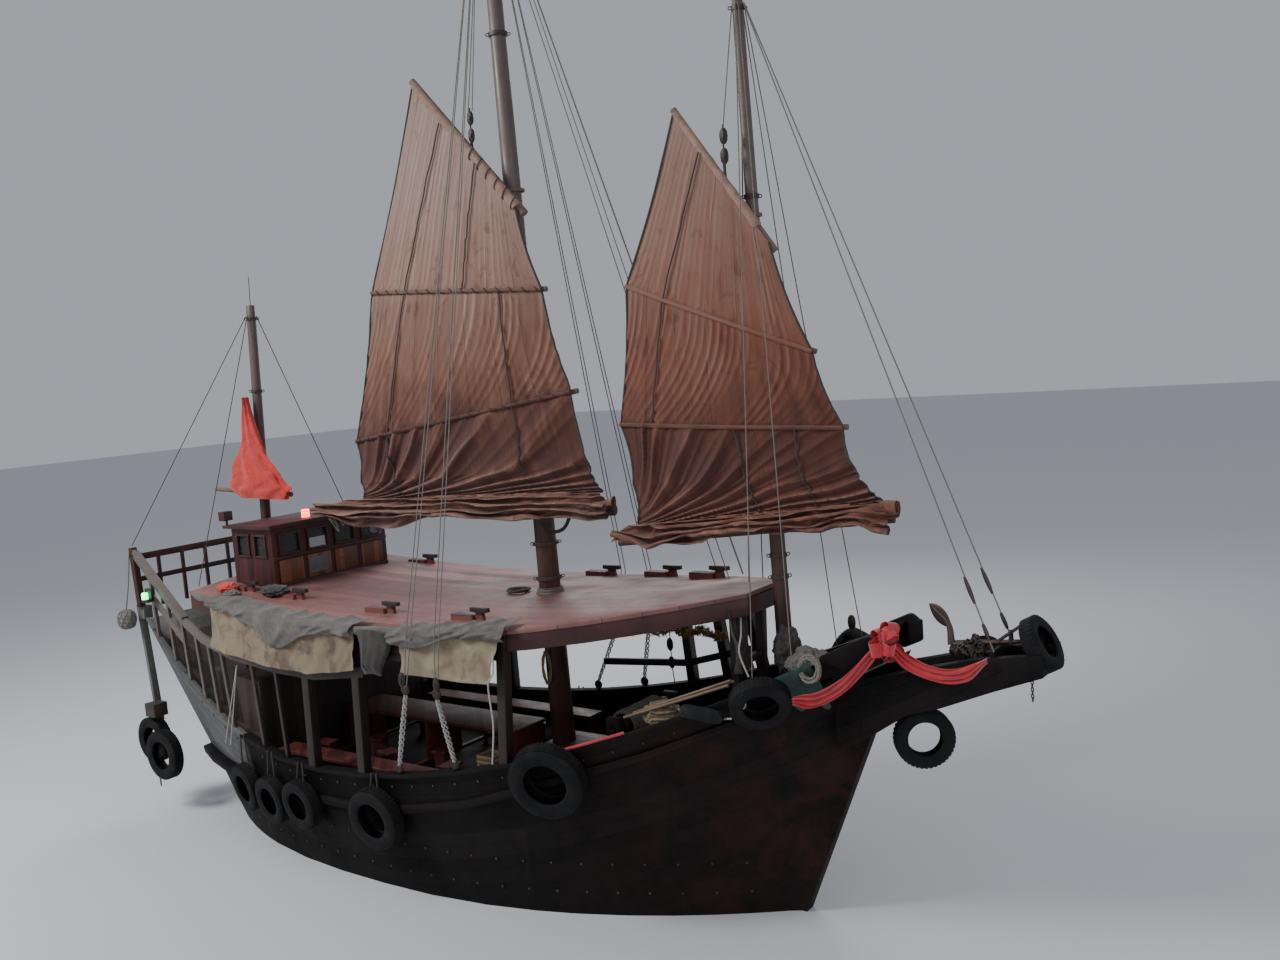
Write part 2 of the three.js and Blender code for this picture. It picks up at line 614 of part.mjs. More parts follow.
function buildQuarterRail(side, posts) {
  const board = loft(QUARTER_RAIL.map(([x, z, y]) => [[x, side * y, z - RAIL.high / 2],
    [x, side * (y - RAIL.thick), z - RAIL.high / 2], [x, side * (y - RAIL.thick), z + RAIL.high / 2],
    [x, side * y, z + RAIL.high / 2]]));
  const footAt = (x) => sideY(x, sheer(x)) - PLANK / 2;
  const thin = STANCHIONS.map((x) => beam([x, side * footAt(x), sheer(x) - 60],
    [x, side * (railY(x) - 32), railZ(x)], 60, 60));
  const thick = posts.map((x) => postUp(x, side));
  const cap = beam([-6900, side * (railY(-6900) - 30), railZ(-6900) + 90],
    [-5000, side * (railY(-5000) - 30), railZ(-5000) + 90], 130, 50);
  const mid = beam([-6350, side * (railY(-6350) - 45), railZ(-6350) - 420],
    [-5150, side * (railY(-5150) - 45), railZ(-5150) - 420], 50, 130);
  return join(board, thin, thick, cap, mid);
}

// The beam under the roof's edge that ties the posts of a side together
function eaveBeam(side, xs) {
  return loft(xs.map((x) => {
    const y = roofHalf(x) - 50;
    const z = roofZ(x, roofHalf(x)) - ROOF.thick - ROOF.fascia - 6;
    const corner = (dy, dz) => [x, side * (y + dy), z + dz];
    return [corner(50, 0), corner(50, -110), corner(-50, -110), corner(-50, 0)];
  }));
}

function trimmed(body, side) {
  const name = side < 0 ? 'starboard' : 'port';
  let out = clear(body, bulwarks[name], [0, 0, GAP], [0, -side * GAP, 0]);
  out = clear(out, quarters[name], [0, 0, GAP], [0, -side * GAP, 0]);
  out = clear(out, fascia, [0, 0, -GAP], [0, GAP, 0], [0, -GAP, 0]);
  out = clear(out, roofBody, [0, 0, -GAP]);
  out = clear(out, poop, [0, 0, GAP], [0, side * GAP, 0]);
  return largest(out);
}

const EAVE_BEAM = [-1150, 0, 1000, 2000, 2840];
const frameStarboard = join(buildQuarterRail(-1, POSTS.starboard), eaveBeam(-1, EAVE_BEAM));
put('quarter_rail_starboard', trimmed(frameStarboard, -1), 'darkWood');
put('quarter_rail_port', trimmed(buildQuarterRail(1, POSTS.quarterPort), 1), 'darkWood');

// To port the forward posts carry a hand rail, which runs on to the two posts under the roof's nose
const noseLegs = [-1, 1].map((side) => beam([5560, side * 330, 2600], [5620, side * 360, 4420], 120, 120));
const railPort = [[1200, 2250, 2560], [3150, 2050, 2755], [4860, 1590, 3280], [5580, 345, 3560]];
const bars = railPort.slice(1).map((end, i) => beam(railPort[i], end, 70, 110));
const noseBar = box(5540, 5640, -420, 420, 3500, 3600);
const framePort = join(POSTS.forePort.map((x) => postUp(x, 1)), bars, noseLegs, noseBar);
const cutPort = clear(clear(trimmed(framePort, 1), hull, [0, 0, GAP]), buildRoofDeck(), [0, 0, -GAP]);
put('fore_posts', largest(cutPort), 'darkWood');

// Stern rail: corner posts, two rails and uprights above the transom
function buildSternRail() {
  const [x, half] = [-7020, 1560];
  const corner = (side) => beam([x + 60, side * half, 3860], [x - 20, side * half, 5000], 110, 110);
  const parts = SIDES.map(([, side]) => corner(side));
  parts.push(box(x - 75, x - 15, -half, half, 4740, 4860), box(x - 60, x - 10, -half, half, 4330, 4420));
  for (const y of [-1040, -520, 0, 520, 1040]) parts.push(box(x - 55, x - 5, y - 30, y + 30, 3800, 4800));
  let body = join(parts);
  body = clear(body, transom, [0, 0, GAP], [-GAP, 0, 0]);
  for (const [name] of SIDES) body = clear(body, bodies[`quarter_rail_${name}`], [-GAP, 0, 0]);
  body = clear(body, quarters.starboard, [0, 0, GAP]);
  return largest(clear(body, quarters.port, [0, 0, GAP]));
}

put('stern_rail', buildSternRail(), 'redWood');

// Wheelhouse: four walls with windows, a roof, a door in its aft wall and the helm inside
const DOOR = { hinge: [HOUSE.aft + HOUSE.wall - 5, -996], width: 596, low: POOP_DECK + 20, high: 4940,
  thick: 40, rings: [3300, 4560] };

function buildHouseWalls() {
  const { front, aft, half, top, wall } = HOUSE;
  const base = POOP_DECK + GAP;
  let body = box(aft, front, -half, half, base, top).subtract(box(aft + wall, front - wall, -half + wall,
    half - wall, base - 50, top + 50));
  for (const y of [-930, -310, 310, 930]) {
    body = body.subtract(box(front - 200, front + 50, y - 215, y + 215, 4920, 5280));
  }
  for (const side of [-1, 1]) {
    const y = side * half;
    body = body.subtract(box(aft + 160, aft + 480, y - 100, y + 100, 4900, 5280));
    body = body.subtract(box(front - 460, front - 160, y - 100, y + 100, 4900, 5280));
  }
  body = body.subtract(box(aft - 50, aft + 100, -1010, -390, base - 10, 4950));
  const [hingeX, hingeY] = DOOR.hinge;
  for (const z of DOOR.rings) {
    body = body.add(moved(turned([[12.4, 0], [24, 0], [24, 40], [12.4, 40]], 16), hingeX, hingeY, z));
  }
  return body.subtract(box(aft - 50, aft + 100, 200, 900, 4300, 4950));
}

const houseWalls = buildHouseWalls();
put('wheelhouse_walls', houseWalls, 'redWood');
const houseRoof = plate([[-4360, HOUSE.top + GAP], [-3030, HOUSE.top + GAP], [-3030, 5470], [-4360, 5450]],
  -1400, 1400);
const lampBody = turned([[0, -5], [66, -5], [66, 30], [55, 40], [55, 120], [0, 150]], 14);
const flood = join(bar([-4300, -1340, 5440], [-4300, -1340, 5560], 22, 22, 8),
  box(-4400, -4240, -1430, -1250, 5540, 5700));
put('wheelhouse_roof', join(houseRoof, moved(lampBody, -3420, -300, 5462), flood), 'redWood');

// The door turns on a rod at its edge, held in rings on the wall
function buildDoor() {
  const { thick, width, low, high, rings } = DOOR;
  let body = box(-thick, 0, 0, width, low, high).subtract(box(-90, 50, 120, width - 120, 4250, 4750));
  for (const z of rings) body = body.subtract(bar([0, 0, z - 2], [0, 0, z + 42], 30, 30, 16));
  return body.add(bar([0, 0, low], [0, 0, high], 12, 12, 16));
}

const doorPost = new THREE.Group();
doorPost.position.set(DOOR.hinge[0], DOOR.hinge[1], 0);
ship.add(doorPost);
put('wheelhouse_door', buildDoor(), 'redWood', doorPost);

function buildHelm() {
  const [x, z] = [-3560, 3900];
  const rim = turned([[300, -18], [345, -18], [345, 18], [300, 18]], 16).rotate([0, 90, 0]);
  const spokes = [0, 60, 120].map((turn) => box(-12, 12, -400, 400, -14, 14).rotate([turn, 0, 0]));
  const wheel = moved(join(rim, spokes), x - 150, 0, z);
  return join(wheel, bar([x - 190, 0, z], [x, 0, z], 45, 45, 12),
    box(x - 60, x + 60, -80, 80, POOP_DECK + GAP, z + 60));
}

put('helm', buildHelm(), 'darkWood');

// Masts, each in a group that leans as it does
const mastGroups = {};
for (const [name, mast] of Object.entries(MASTS)) {
  const group = new THREE.Group();
  group.position.set(mast.x, 0, 0);
  group.rotation.y = THREE.MathUtils.degToRad(-mast.lean);
  ship.add(group);
  mastGroups[name] = group;
}
ship.updateMatrixWorld(true);

const mastRadius = (mast, z) => along(mast.radii, z);

function buildMast(name) {
  const mast = MASTS[name];
  const foot = mast.radii[0][0];
  const outer = mast.radii.map(([z, r]) => [r, z]);
  const body = turned([[0, foot], ...outer, [0, mast.top]], 20);
  const floor = name === 'mizzen' ? poop : hull;
  return clearIn(mastGroups[name], body, floor, [0, 0, GAP]);
}

for (const name of Object.keys(MASTS)) put(`${name}_mast`, buildMast(name), 'mastWood', mastGroups[name]);

// Sails. Every sail set turns about its own mast. `a` runs aft of the mast, z is height.
const SAIL_ANGLE = 10;
const PARREL = { play: 0.4, thick: 32, high: 44, sides: 16 };
const parrelInner = (mast, z) => (mastRadius(mast, z) + PARREL.play) / Math.cos(Math.PI / PARREL.sides);

// Spars of a set: name, fore and aft ends as [a, z], radius at each end
const SAILS = {
  main: {
    spars: [
      { name: 'yard_main', fore: [-320, 10150], aft: [1470, 12420], radius: 75 },
      { name: 'upper_batten_main', fore: [-580, 9000], aft: [2680, 9275], radius: 42 },
      { name: 'lower_batten_main', fore: [-960, 7440], aft: [3290, 6890], radius: 42 },
      { name: 'boom_main', fore: [-1440, 5620], aft: [4150, 5740], radius: 85 },
    ],
    rows: [[-230, 10260, 1400, 12330], [-520, 9000, 2620, 9270], [-890, 7430, 3230, 6900],
      [-1130, 6350, 3160, 6250], [-1330, 5900, 3150, 5960]],
    bundle: { fore: -1380, aft: 4040, z: 5846, wide: 150, high: 115 },
    belly: 180,
  },
  fore: {
    spars: [
      { name: 'yard_fore', fore: [-330, 9130], aft: [960, 11170], radius: 62 },
      { name: 'upper_batten_fore', fore: [-800, 7770], aft: [1900, 8900], radius: 38 },
      { name: 'lower_batten_fore', fore: [-1160, 6760], aft: [2170, 6990], radius: 38 },
      { name: 'boom_fore', fore: [-1700, 5560], aft: [2320, 5290], radius: 72 },
    ],
    rows: [[-290, 9240, 920, 11110], [-760, 7780, 1860, 8900], [-1110, 6760, 2120, 6980],
      [-1250, 6250, 1960, 6150], [-1600, 5780, 1950, 5560]],
    bundle: { fore: -1670, aft: 2300, z: 5650, wide: 120, high: 95 },
    belly: 150,
  },
};

// How far a set's spars stand out from the mast's axis, to starboard
function sparOffset(mast, spar) {
  const z = (spar.fore[1] + spar.aft[1]) / 2;
  return parrelInner(mast, z) + PARREL.thick + spar.radius;
}

function buildSpar(mast, spar) {
  const off = sparOffset(mast, spar);
  const [fore, aft] = [spar.fore, spar.aft].map(([a, z]) => [-a, -off, z]);
  const cross = lerp(spar.fore[1], spar.aft[1], (0 - spar.fore[0]) / (spar.aft[0] - spar.fore[0]));
  const inner = parrelInner(mast, cross - PARREL.high / 2);
  const ring = turned([[inner, 0], [inner + PARREL.thick, 0], [inner + PARREL.thick, PARREL.high],
    [inner, PARREL.high]], PARREL.sides).translate(0, 0, cross - PARREL.high / 2);
  const rod = bar(fore, aft, spar.radius, spar.radius * 0.8, 8);
  const half = PARREL.high / 2;
  const link = box(-30, 30, -off, -inner - PARREL.thick / 2, cross - half, cross + half);
  return join(rod, ring, link);
}

function buildSail(mast, sail) {
  const outside = sail.spars.map((spar) => sparOffset(mast, spar) + spar.radius + 22);
  const [cols, steps] = [8, 2];
  const grid = [];
  const last = sail.rows.length - 1;
  for (let i = 0; i < last; i += 1) {
    for (let k = 0; k < steps; k += 1) {
      grid.push([i + k / steps, sail.rows[i].map((v, c) => lerp(v, sail.rows[i + 1][c], k / steps))]);
    }
  }
  grid.push([last, sail.rows[last]]);
  const offsets = outside.map((off, i) => [i, off]);
  const rows = grid.map(([level, [foreA, foreZ, aftA, aftZ]]) => {
    const belly = sail.belly * Math.sin((Math.PI * level) / last);
    return Array.from({ length: cols + 1 }, (unused, c) => {
      const t = c / cols;
      const y = -along(offsets, level) - belly * Math.sin(Math.PI * t);
      return [-lerp(foreA, aftA, t), y, lerp(foreZ, aftZ, t)];
    });
  });
  const { fore, aft, z, wide, high } = sail.bundle;
  const bundle = solid(new THREE.CylinderGeometry(1, 1, aft - fore, 14).rotateZ(Math.PI / 2)
    .scale(1, wide, high).translate(-(aft + fore) / 2, -outside[3] - 60, z));
  return sheet(rows, [0, 1, 0], 30).add(bundle);
}

for (const [name, sail] of Object.entries(SAILS)) {
  const mast = MASTS[name];
  const swing = new THREE.Group();
  swing.rotation.z = THREE.MathUtils.degToRad(SAIL_ANGLE);
  mastGroups[name].add(swing);
  const spars = sail.spars.map((spar) => buildSpar(mast, spar));
  sail.spars.forEach((spar, i) => put(spar.name, spars[i], 'spar', swing));
  let cloth = buildSail(mast, sail);
  for (const spar of spars) cloth = clear(cloth, spar, [0, -GAP, 0], [0, 0, GAP]);
  put(`sail_${name}`, largest(cloth), 'sailcloth', swing);
}

// Mizzen: a short boom with its sail lowered and furled above it
function buildMizzenSet() {
  const swing = new THREE.Group();
  swing.rotation.z = THREE.MathUtils.degToRad(SAIL_ANGLE);
  mastGroups.mizzen.add(swing);
  const spar = { name: 'boom_mizzen', fore: [-840, 5890], aft: [1030, 5930], radius: 50 };
  const boom = buildSpar(MASTS.mizzen, spar);
  put(spar.name, boom, 'spar', swing);
  const off = sparOffset(MASTS.mizzen, spar) + 40;
  const outline = [[70, 7700], [-460, 6650], [-820, 6080], [-980, 5990], [-640, 5970], [400, 5970],
    [560, 6080], [350, 6500], [170, 6900]];
  const furled = plate(outline, -off - 75, -off + 45);
  const hanging = plate([[-500, 6000], [-760, 5640], [-940, 5960]], -off - 60, -off + 10);
  const sail = clear(furled.add(hanging), boom, [0, 0, GAP], [0, -GAP, 0]);
  put('sail_mizzen', largest(sail), 'furledRed', swing);
}

buildMizzenSet();

// Stays and shrouds: taut lines from a strop round the mast, each led through points to its foot
function rigging(mast, head, lines, radius = 13) {
  const x = mastX(mast, head);
  const inner = mastRadius(mast, head) + 6;
  const strop = turned([[inner, -25], [inner + 26, -25], [inner + 26, 25], [inner, 25]], 16);
  const led = lines.flatMap((points) => {
    const [nx, ny] = points[0];
    const toward = new THREE.Vector2(nx - x, ny).normalize().multiplyScalar(inner + 14);
    const path = [[x + toward.x, toward.y, head], ...points];
    const [fx, fy, fz] = points[points.length - 1];
    return [...path.slice(1).map((end, i) => bar(path[i], end, radius, radius, 6)),
      ...points.slice(0, -1).map(([px, py, pz]) => bar([px, py, pz - 22], [px, py, pz + 22], 26, 26, 8)),
      box(fx - 40, fx + 40, fy - 26, fy + 26, fz - 90, fz + 70)];
  });
  return join(moved(strop, x, 0, head), led);
}

function seatOnSides(body) {
  let out = body;
  for (const neighbour of [bulwarks.starboard, bulwarks.port, quarters.starboard, quarters.port]) {
    out = clear(out, neighbour, [0, 0, GAP], [0, GAP, 0], [0, -GAP, 0]);
  }
  return largest(out);
}

const onRail = (x, side) => [x, side * (sideY(x, sheer(x)) - 30), sheer(x) + 60];
const onRoof = (x, side, inset) => [x, side * (roofHalf(x) - inset), roofZ(x, roofHalf(x) - inset) + 60];

// The main shrouds bend over the roof's edge and run on through a block to the rail
const shroud = (side, edgeX, blockX, footX) => [[edgeX, side * 2600, 4150], [blockX, side * 2610, 3360],
  onRail(footX, side)];
const mainLines = SIDES.flatMap(([, side]) => [shroud(side, 1450, 1320, 840),
  shroud(side, 2020, 1960, 1940)]);
const mainRigging = rigging(MASTS.main, 15300, [...mainLines, [onRoof(4950, 1, 160)]]);
put('rigging_main', largest(clear(seatOnSides(mainRigging), roofBody, [0, 0, GAP])), 'rope');

const beakTop = (x) => along(BEAK.over, x);
const stayFeet = [-1, 1].map((side) => [[9250, side * 330, beakTop(9250) + 60]]);
const foreLines = [...stayFeet, ...SIDES.flatMap(([, side]) => [[onRail(6350, side)], [onRail(6850, side)]])];
const foreRigging = clear(rigging(MASTS.fore, 12400, foreLines), bodies.beak, [0, 0, GAP]);
put('rigging_fore', seatOnSides(foreRigging), 'rope');

const mizzenFeet = [-1, 1].flatMap((side) => [[[-7040, side * 1560, 5040]], [onRoof(-4480, side, 150)]]);
let mizzenStays = rigging(MASTS.mizzen, 9200, mizzenFeet, 11);
mizzenStays = clear(mizzenStays, bodies.stern_rail, [0, 0, GAP]);
mizzenStays = clear(mizzenStays, roofBody, [0, 0, GAP]);
put('rigging_mizzen', largest(mizzenStays), 'rope');

// Windlass on the foredeck: two cheeks on a sill, and a rope-wound drum that turns between them
const WINDLASS = { x: 3650, z: 2480, half: 640, drum: 190, axle: 56 };

function buildWindlass() {
  const { x, z, half } = WINDLASS;
  const cheeks = [-1, 1].map((side) => {
    const y = side * (half + 60);
    return box(x - 110, x + 110, Math.min(y, y + side * 90), Math.max(y, y + side * 90), 1800, z + 190);
  });
  const sill = box(x - 90, x + 90, -half - 100, half + 100, 1900, z - 260);
  const hole = bar([x, -2000, z], [x, 2000, z], WINDLASS.axle + 0.9, WINDLASS.axle + 0.9, 24);
  return clear(join(cheeks, sill), hull, [0, 0, GAP]).subtract(hole);
}

put('windlass_frame', largest(buildWindlass()), 'darkWood');

const drumLine = new THREE.Group();
drumLine.position.set(WINDLASS.x, 0, WINDLASS.z);
ship.add(drumLine);
function buildDrum() {
  const { half, drum, axle } = WINDLASS;
  const upper = [[drum, 260], [150, half - 40], [axle, half - 20], [axle, half + 190], [0, half + 190]];
  const lower = [...upper].reverse().map(([r, z]) => [r, -z]);
  return turned([...lower, ...upper], 24).rotate([90, 0, 0]);
}

put('windlass_drum', buildDrum(), 'rope', drumLine);

// Deck fittings under the roof: benches along both sides, a long table and the engine hatch
function bench(x0, x1, y0, y1, high) {
  const top = MAIN_DECK + high;
  const legs = [x0 + 60, (x0 + x1) / 2, x1 - 60].map((x) => box(x - 30, x + 30, y0 + 20, y1 - 20,
    MAIN_DECK + GAP, top - 20));
  return join(box(x0, x1, y0, y1, top - 60, top), legs);
}

const bearer = (x) => box(x - 40, x + 40, -1900, 1900, MAIN_DECK + GAP, MAIN_DECK + 40);
const bearers = [-2640, -700, 1240].map(bearer);
put('deck_benches', join(bench(-2700, 1300, -1950, -1560, 450), bench(-2700, 1300, 1560, 1950, 450),
  bench(-2700, 1300, -420, 420, 760), bearers), 'redWood');

// Mast case and hatch at the main mast's foot
const partner = box(1840, 2740, -430, 430, MAIN_DECK + GAP, MAIN_DECK + 620)
  .subtract(bar([mastX(MASTS.main, 1200), 0, 1200], [mastX(MASTS.main, 2000), 0, 2000], 192, 192, 24));
put('mast_case', partner, 'darkWood');

// Guard rail along the waterways: a wale on each side, from the quarter to the bow
function buildWale(side) {
  const stations = [-5200, -4600, -3800, -2800, -1600, -400, 800, 2000, 3200, 4300, 5200, 5900];
  return loft(stations.map((station) => {
    const z = station < -2800 ? 1200 : lerp(1200, sheerOf(station) - 420, clamp01((station + 2800) / 6000));
    const out = (h) => halfBreadth(station, h);
    const wide = station < -2800 ? lerp(75, 190, clamp01((-2800 - station) / 1200)) : 75;
    const at = (y, h) => [stationX(station, h), side * y, h];
    return [at(out(z - 70) - 20, z - 70), at(out(z) + wide, z - 55), at(out(z) + wide, z + 55),
      at(out(z + 70) - 20, z + 70)];
  }));
}

const sides = sidesRoom(2 * GAP);
for (const [name, side] of SIDES) put(`wale_${name}`, largest(buildWale(side).subtract(sides)), 'darkWood');

// Tyre fenders: name, place, side, outer radius, tread width; each hangs from the rail on a rope
const TYRES = [
  { name: 'tyre_bow', x: 6410, z: 3440, side: -1, radius: 410, wide: 230 },
  { name: 'tyre_fore', x: 3540, z: 2260, side: -1, radius: 555, wide: 290 },
  { name: 'tyre_waist', x: 370, z: 1280, side: -1, radius: 495, wide: 260 },
  { name: 'tyre_aft_1', x: -1450, z: 1180, side: -1, radius: 415, wide: 230 },
  { name: 'tyre_aft_2', x: -2330, z: 1080, side: -1, radius: 415, wide: 230 },
  { name: 'tyre_aft_3', x: -3200, z: 1120, side: -1, radius: 415, wide: 230 },
  { name: 'tyre_bow_port', x: 6410, z: 3440, side: 1, radius: 410, wide: 230 },
  { name: 'tyre_waist_port', x: 370, z: 1280, side: 1, radius: 495, wide: 260 },
];

const TYRE_STAND = 62;            // from the planking to the near edge of a tyre

function tyreShape(radius, wide) {
  const [inner, w] = [radius * 0.55, wide / 2];
  return turned([[inner, -w * 0.7], [radius * 0.86, -w], [radius, -w * 0.62], [radius, w * 0.62],
    [radius * 0.86, w], [inner, w * 0.7]], 16);
}

function hangTyre({ x, z, side, radius, wide }) {
  const y = side * sideY(x, z);
  const slope = (sideY(x + 200, z) - sideY(x - 200, z)) / 400;
  const flare = (sideY(x, z + 200) - sideY(x, z - 200)) / 400;
  const out = new THREE.Vector3(-slope, side, -flare).normalize();
  const turn = new THREE.Quaternion().setFromUnitVectors(new THREE.Vector3(0, 0, 1), out);
  const place = new THREE.Matrix4().makeRotationFromQuaternion(turn);
  const stand = wide / 2 + TYRE_STAND;
  place.setPosition(new THREE.Vector3(x, y, z).addScaledVector(out, stand));
  const ring = tyreShape(radius, wide).transform(place.elements);
  const knot = [x, side * (sideY(x, sheer(x)) + 20), sheer(x) + 40];
  const rope = bar([x, y + side * stand, z + radius * 0.5], knot, 16, 16, 6);
  const name = side < 0 ? 'starboard' : 'port';
  let body = rope.add(ring).subtract(sides);
  for (const neighbour of [bulwarks[name], quarters[name], bodies[`wale_${name}`]]) {
    body = clear(body, neighbour, [0, side * GAP, 0], [0, 0, GAP]);
  }
  return largest(body);
}

const aft = TYRES.filter((tyre) => tyre.name.startsWith('tyre_aft'));
for (const tyre of TYRES.filter((one) => !aft.includes(one))) put(tyre.name, hangTyre(tyre), 'rubber');
const lashing = aft.slice(1).map((tyre, i) => bar([aft[i].x - 150, -sideY(aft[i].x, 1200) - 190, 1250],
  [tyre.x + 150, -sideY(tyre.x, 1200) - 190, 1200], 22, 22, 6));
put('tyres_aft', join(aft.map(hangTyre), lashing), 'rubber');

// Tyres at the beak: one lashed across its tip, one hung below
const tipTyre = tyreShape(355, 210).rotate([0, 62, 0]);
put('tyre_beak_tip', clear(moved(tipTyre, 9720, 0, 4080), bodies.beak, [GAP, 0, 0], [0, 0, GAP]), 'rubber');
const lowTyre = moved(tyreShape(395, 220).rotate([90, 0, 0]).rotate([0, 0, 24]), 8150, 0, 2720);
const hungTyre = clear(clear(lowTyre, bodies.beak, [0, 0, -GAP]), hull, [GAP, 0, 0]);
put('tyre_under_beak', largest(hungTyre), 'rubber');

// Fenders at the stern's starboard corner: a hung board with tyres on its foot, and a round fender
function buildSternBoard() {
  const board = beam([-7090, -1500, 3880], [-6760, -1560, 1650], 130, 70);
  let body = board.add(box(-7110, -6900, -1560, -1380, 3620, 3860));
  for (const neighbour of [transom, quarters.starboard, quarters.port, bodies.stern_rail, hull]) {
    body = clear(body, neighbour, [-GAP, 0, 0], [0, 0, -GAP], [0, -GAP, 0]);
  }
  return largest(body);
}

const sternBoard = buildSternBoard();
put('stern_board', sternBoard, 'weatheredWood');
const edgeTyre = (radius) => tyreShape(radius, 240).rotate([90, 0, 0]);
const sternTyres = join(moved(edgeTyre(440), -6740, -1720, 1330), moved(edgeTyre(470), -6270, -1850, 1130),
  bar([-6500, -1790, 1500], [-6760, -1700, 1900], 30, 30, 6));
put('tyres_stern', largest(clear(sternTyres, sternBoard, [0, -GAP, 0], [0, 0, -GAP])), 'rubber');

const roundFender = turned([[0, 0], [120, 0], [175, 60], [175, 300], [120, 360], [0, 360]], 16);
put('fender_round', moved(roundFender, -7120, -1790, 3650)
  .add(bar([-7120, -1790, 4000], [-7070, -1620, 4950], 12, 12, 6))
  .subtract(moved(bodies.stern_rail, 0, -GAP, 0)), 'rope');

// Anchor: laid on the beak with one fluke up
function buildAnchor() {
  const crown = [8560, 60, 3960];
  const shank = bar(crown, [9480, 60, 4080], 32, 28, 10);
  const stock = bar([9330, -420, 4180], [9330, 520, 4180], 22, 22, 8);
  const eye = bar([9330, 60, 4040], [9330, 60, 4200], 26, 26, 8);
  const [elbow, tip] = [[8660, 250, 4290], [8860, 310, 4430]];
  return join(shank, stock, eye, beam(crown, elbow, 60, 50), beam(elbow, tip, 55, 45));
}

put('anchor', largest(clear(buildAnchor(), bodies.beak, [0, 0, GAP])), 'iron');

// Canvas hung along the starboard side of the roof: a rolled tarpaulin and two banners
function hangingCanvas(x0, x1, top, low, out) {
  const cols = 8;
  const grid = [0, 0.5, 1].map((v) => Array.from({ length: cols + 1 }, (unused, c) => {
    const x = lerp(x0, x1, c / cols);
    const z = lerp(roofZ(x, roofHalf(x)) + top, low(x), v);
    return [x, -lerp(roofHalf(x) + out, railYAt(x) + out, v), z];
  }));
  return sheet(grid, [0, 1, 0], 20);
}

const railYAt = (x) => (x < 260 ? railY(x) : lerp(2450, 2380, clamp01((x - 260) / 2600)));
const rollX = [-4350, -3600, -2800, -1900, -900, 100, 1100, 2000, 2900];
const roll = loft(rollX.map((x) => Array.from({ length: 8 }, (unused, k) => {
  const turn = (k / 8) * 2 * Math.PI;
  return [x, -roofHalf(x) - 60 + 75 * Math.cos(turn), roofZ(x, roofHalf(x)) + 10 + 65 * Math.sin(turn)];
})));
const banners = [
  hangingCanvas(-3700, 180, 0, (x) => railZ(x) + 60, 60),
  hangingCanvas(1180, 2880, 0, () => 3560, 60),
];
const canvas = clear(clear(join(roll, banners), roofBody, [0, 0, GAP], [0, -GAP, 0]), fascia, [0, -GAP, 0]);
put('side_canvas', largest(canvas), 'banner');

export default ship;
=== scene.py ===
"""Looks of a wooden three-masted junk afloat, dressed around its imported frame. Units are metres."""

import json
import logging
from dataclasses import dataclass, field
from enum import Enum
from math import cos, exp, log, pi, radians, sin, tau
from random import Random
from typing import Callable, Sequence

import bmesh
import bpy
from bpy.types import ID, Material, Node, NodeSocket, Object
from mathutils import Euler, Matrix, Vector, noise

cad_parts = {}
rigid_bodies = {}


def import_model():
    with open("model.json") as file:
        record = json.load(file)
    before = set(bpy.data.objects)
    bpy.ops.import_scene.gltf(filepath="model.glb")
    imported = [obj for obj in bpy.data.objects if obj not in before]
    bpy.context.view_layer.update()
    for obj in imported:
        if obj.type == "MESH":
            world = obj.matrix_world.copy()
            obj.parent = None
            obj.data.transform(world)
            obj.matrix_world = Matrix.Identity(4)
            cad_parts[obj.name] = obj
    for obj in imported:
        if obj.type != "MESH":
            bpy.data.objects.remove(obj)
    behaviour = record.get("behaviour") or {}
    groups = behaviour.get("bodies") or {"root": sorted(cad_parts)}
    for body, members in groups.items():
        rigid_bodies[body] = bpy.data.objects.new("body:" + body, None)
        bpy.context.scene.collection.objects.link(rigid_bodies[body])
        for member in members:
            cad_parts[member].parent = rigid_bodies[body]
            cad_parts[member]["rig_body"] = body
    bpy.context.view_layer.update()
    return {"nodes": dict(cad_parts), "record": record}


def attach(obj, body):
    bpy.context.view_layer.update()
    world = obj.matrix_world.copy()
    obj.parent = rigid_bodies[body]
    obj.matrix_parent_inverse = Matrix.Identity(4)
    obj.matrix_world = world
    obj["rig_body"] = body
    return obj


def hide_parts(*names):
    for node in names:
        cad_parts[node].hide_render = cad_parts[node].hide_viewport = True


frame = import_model()
SLOT_OF = {row["node"]: row["material_slot"] for row in frame["record"]["subparts"]}
LOG = logging.getLogger("junk")

Colour = tuple[float, float, float]
Place = tuple[float, float, float]
Ring = list[Vector]
# The rail's lowest place, then the roof's: its height, half breadth, rise fore and aft, and camber
SHEER_X, SHEER_Z = -1.5, 1.8
ROOF_X, ROOF_Z, ROOF_HALF, ROOF_RISE, ROOF_CAMBER = 0.21, 4.28, 2.4, 0.01, 0.17
UP = Vector((0, 0, 1))
ON_SIDE = Matrix.Rotation(pi / 2, 4, "X")
WELD = 1e-5
SHARP, SHARP_HEAP, SHARP_CLOTH = radians(32), radians(70), radians(80)


# Shader maths

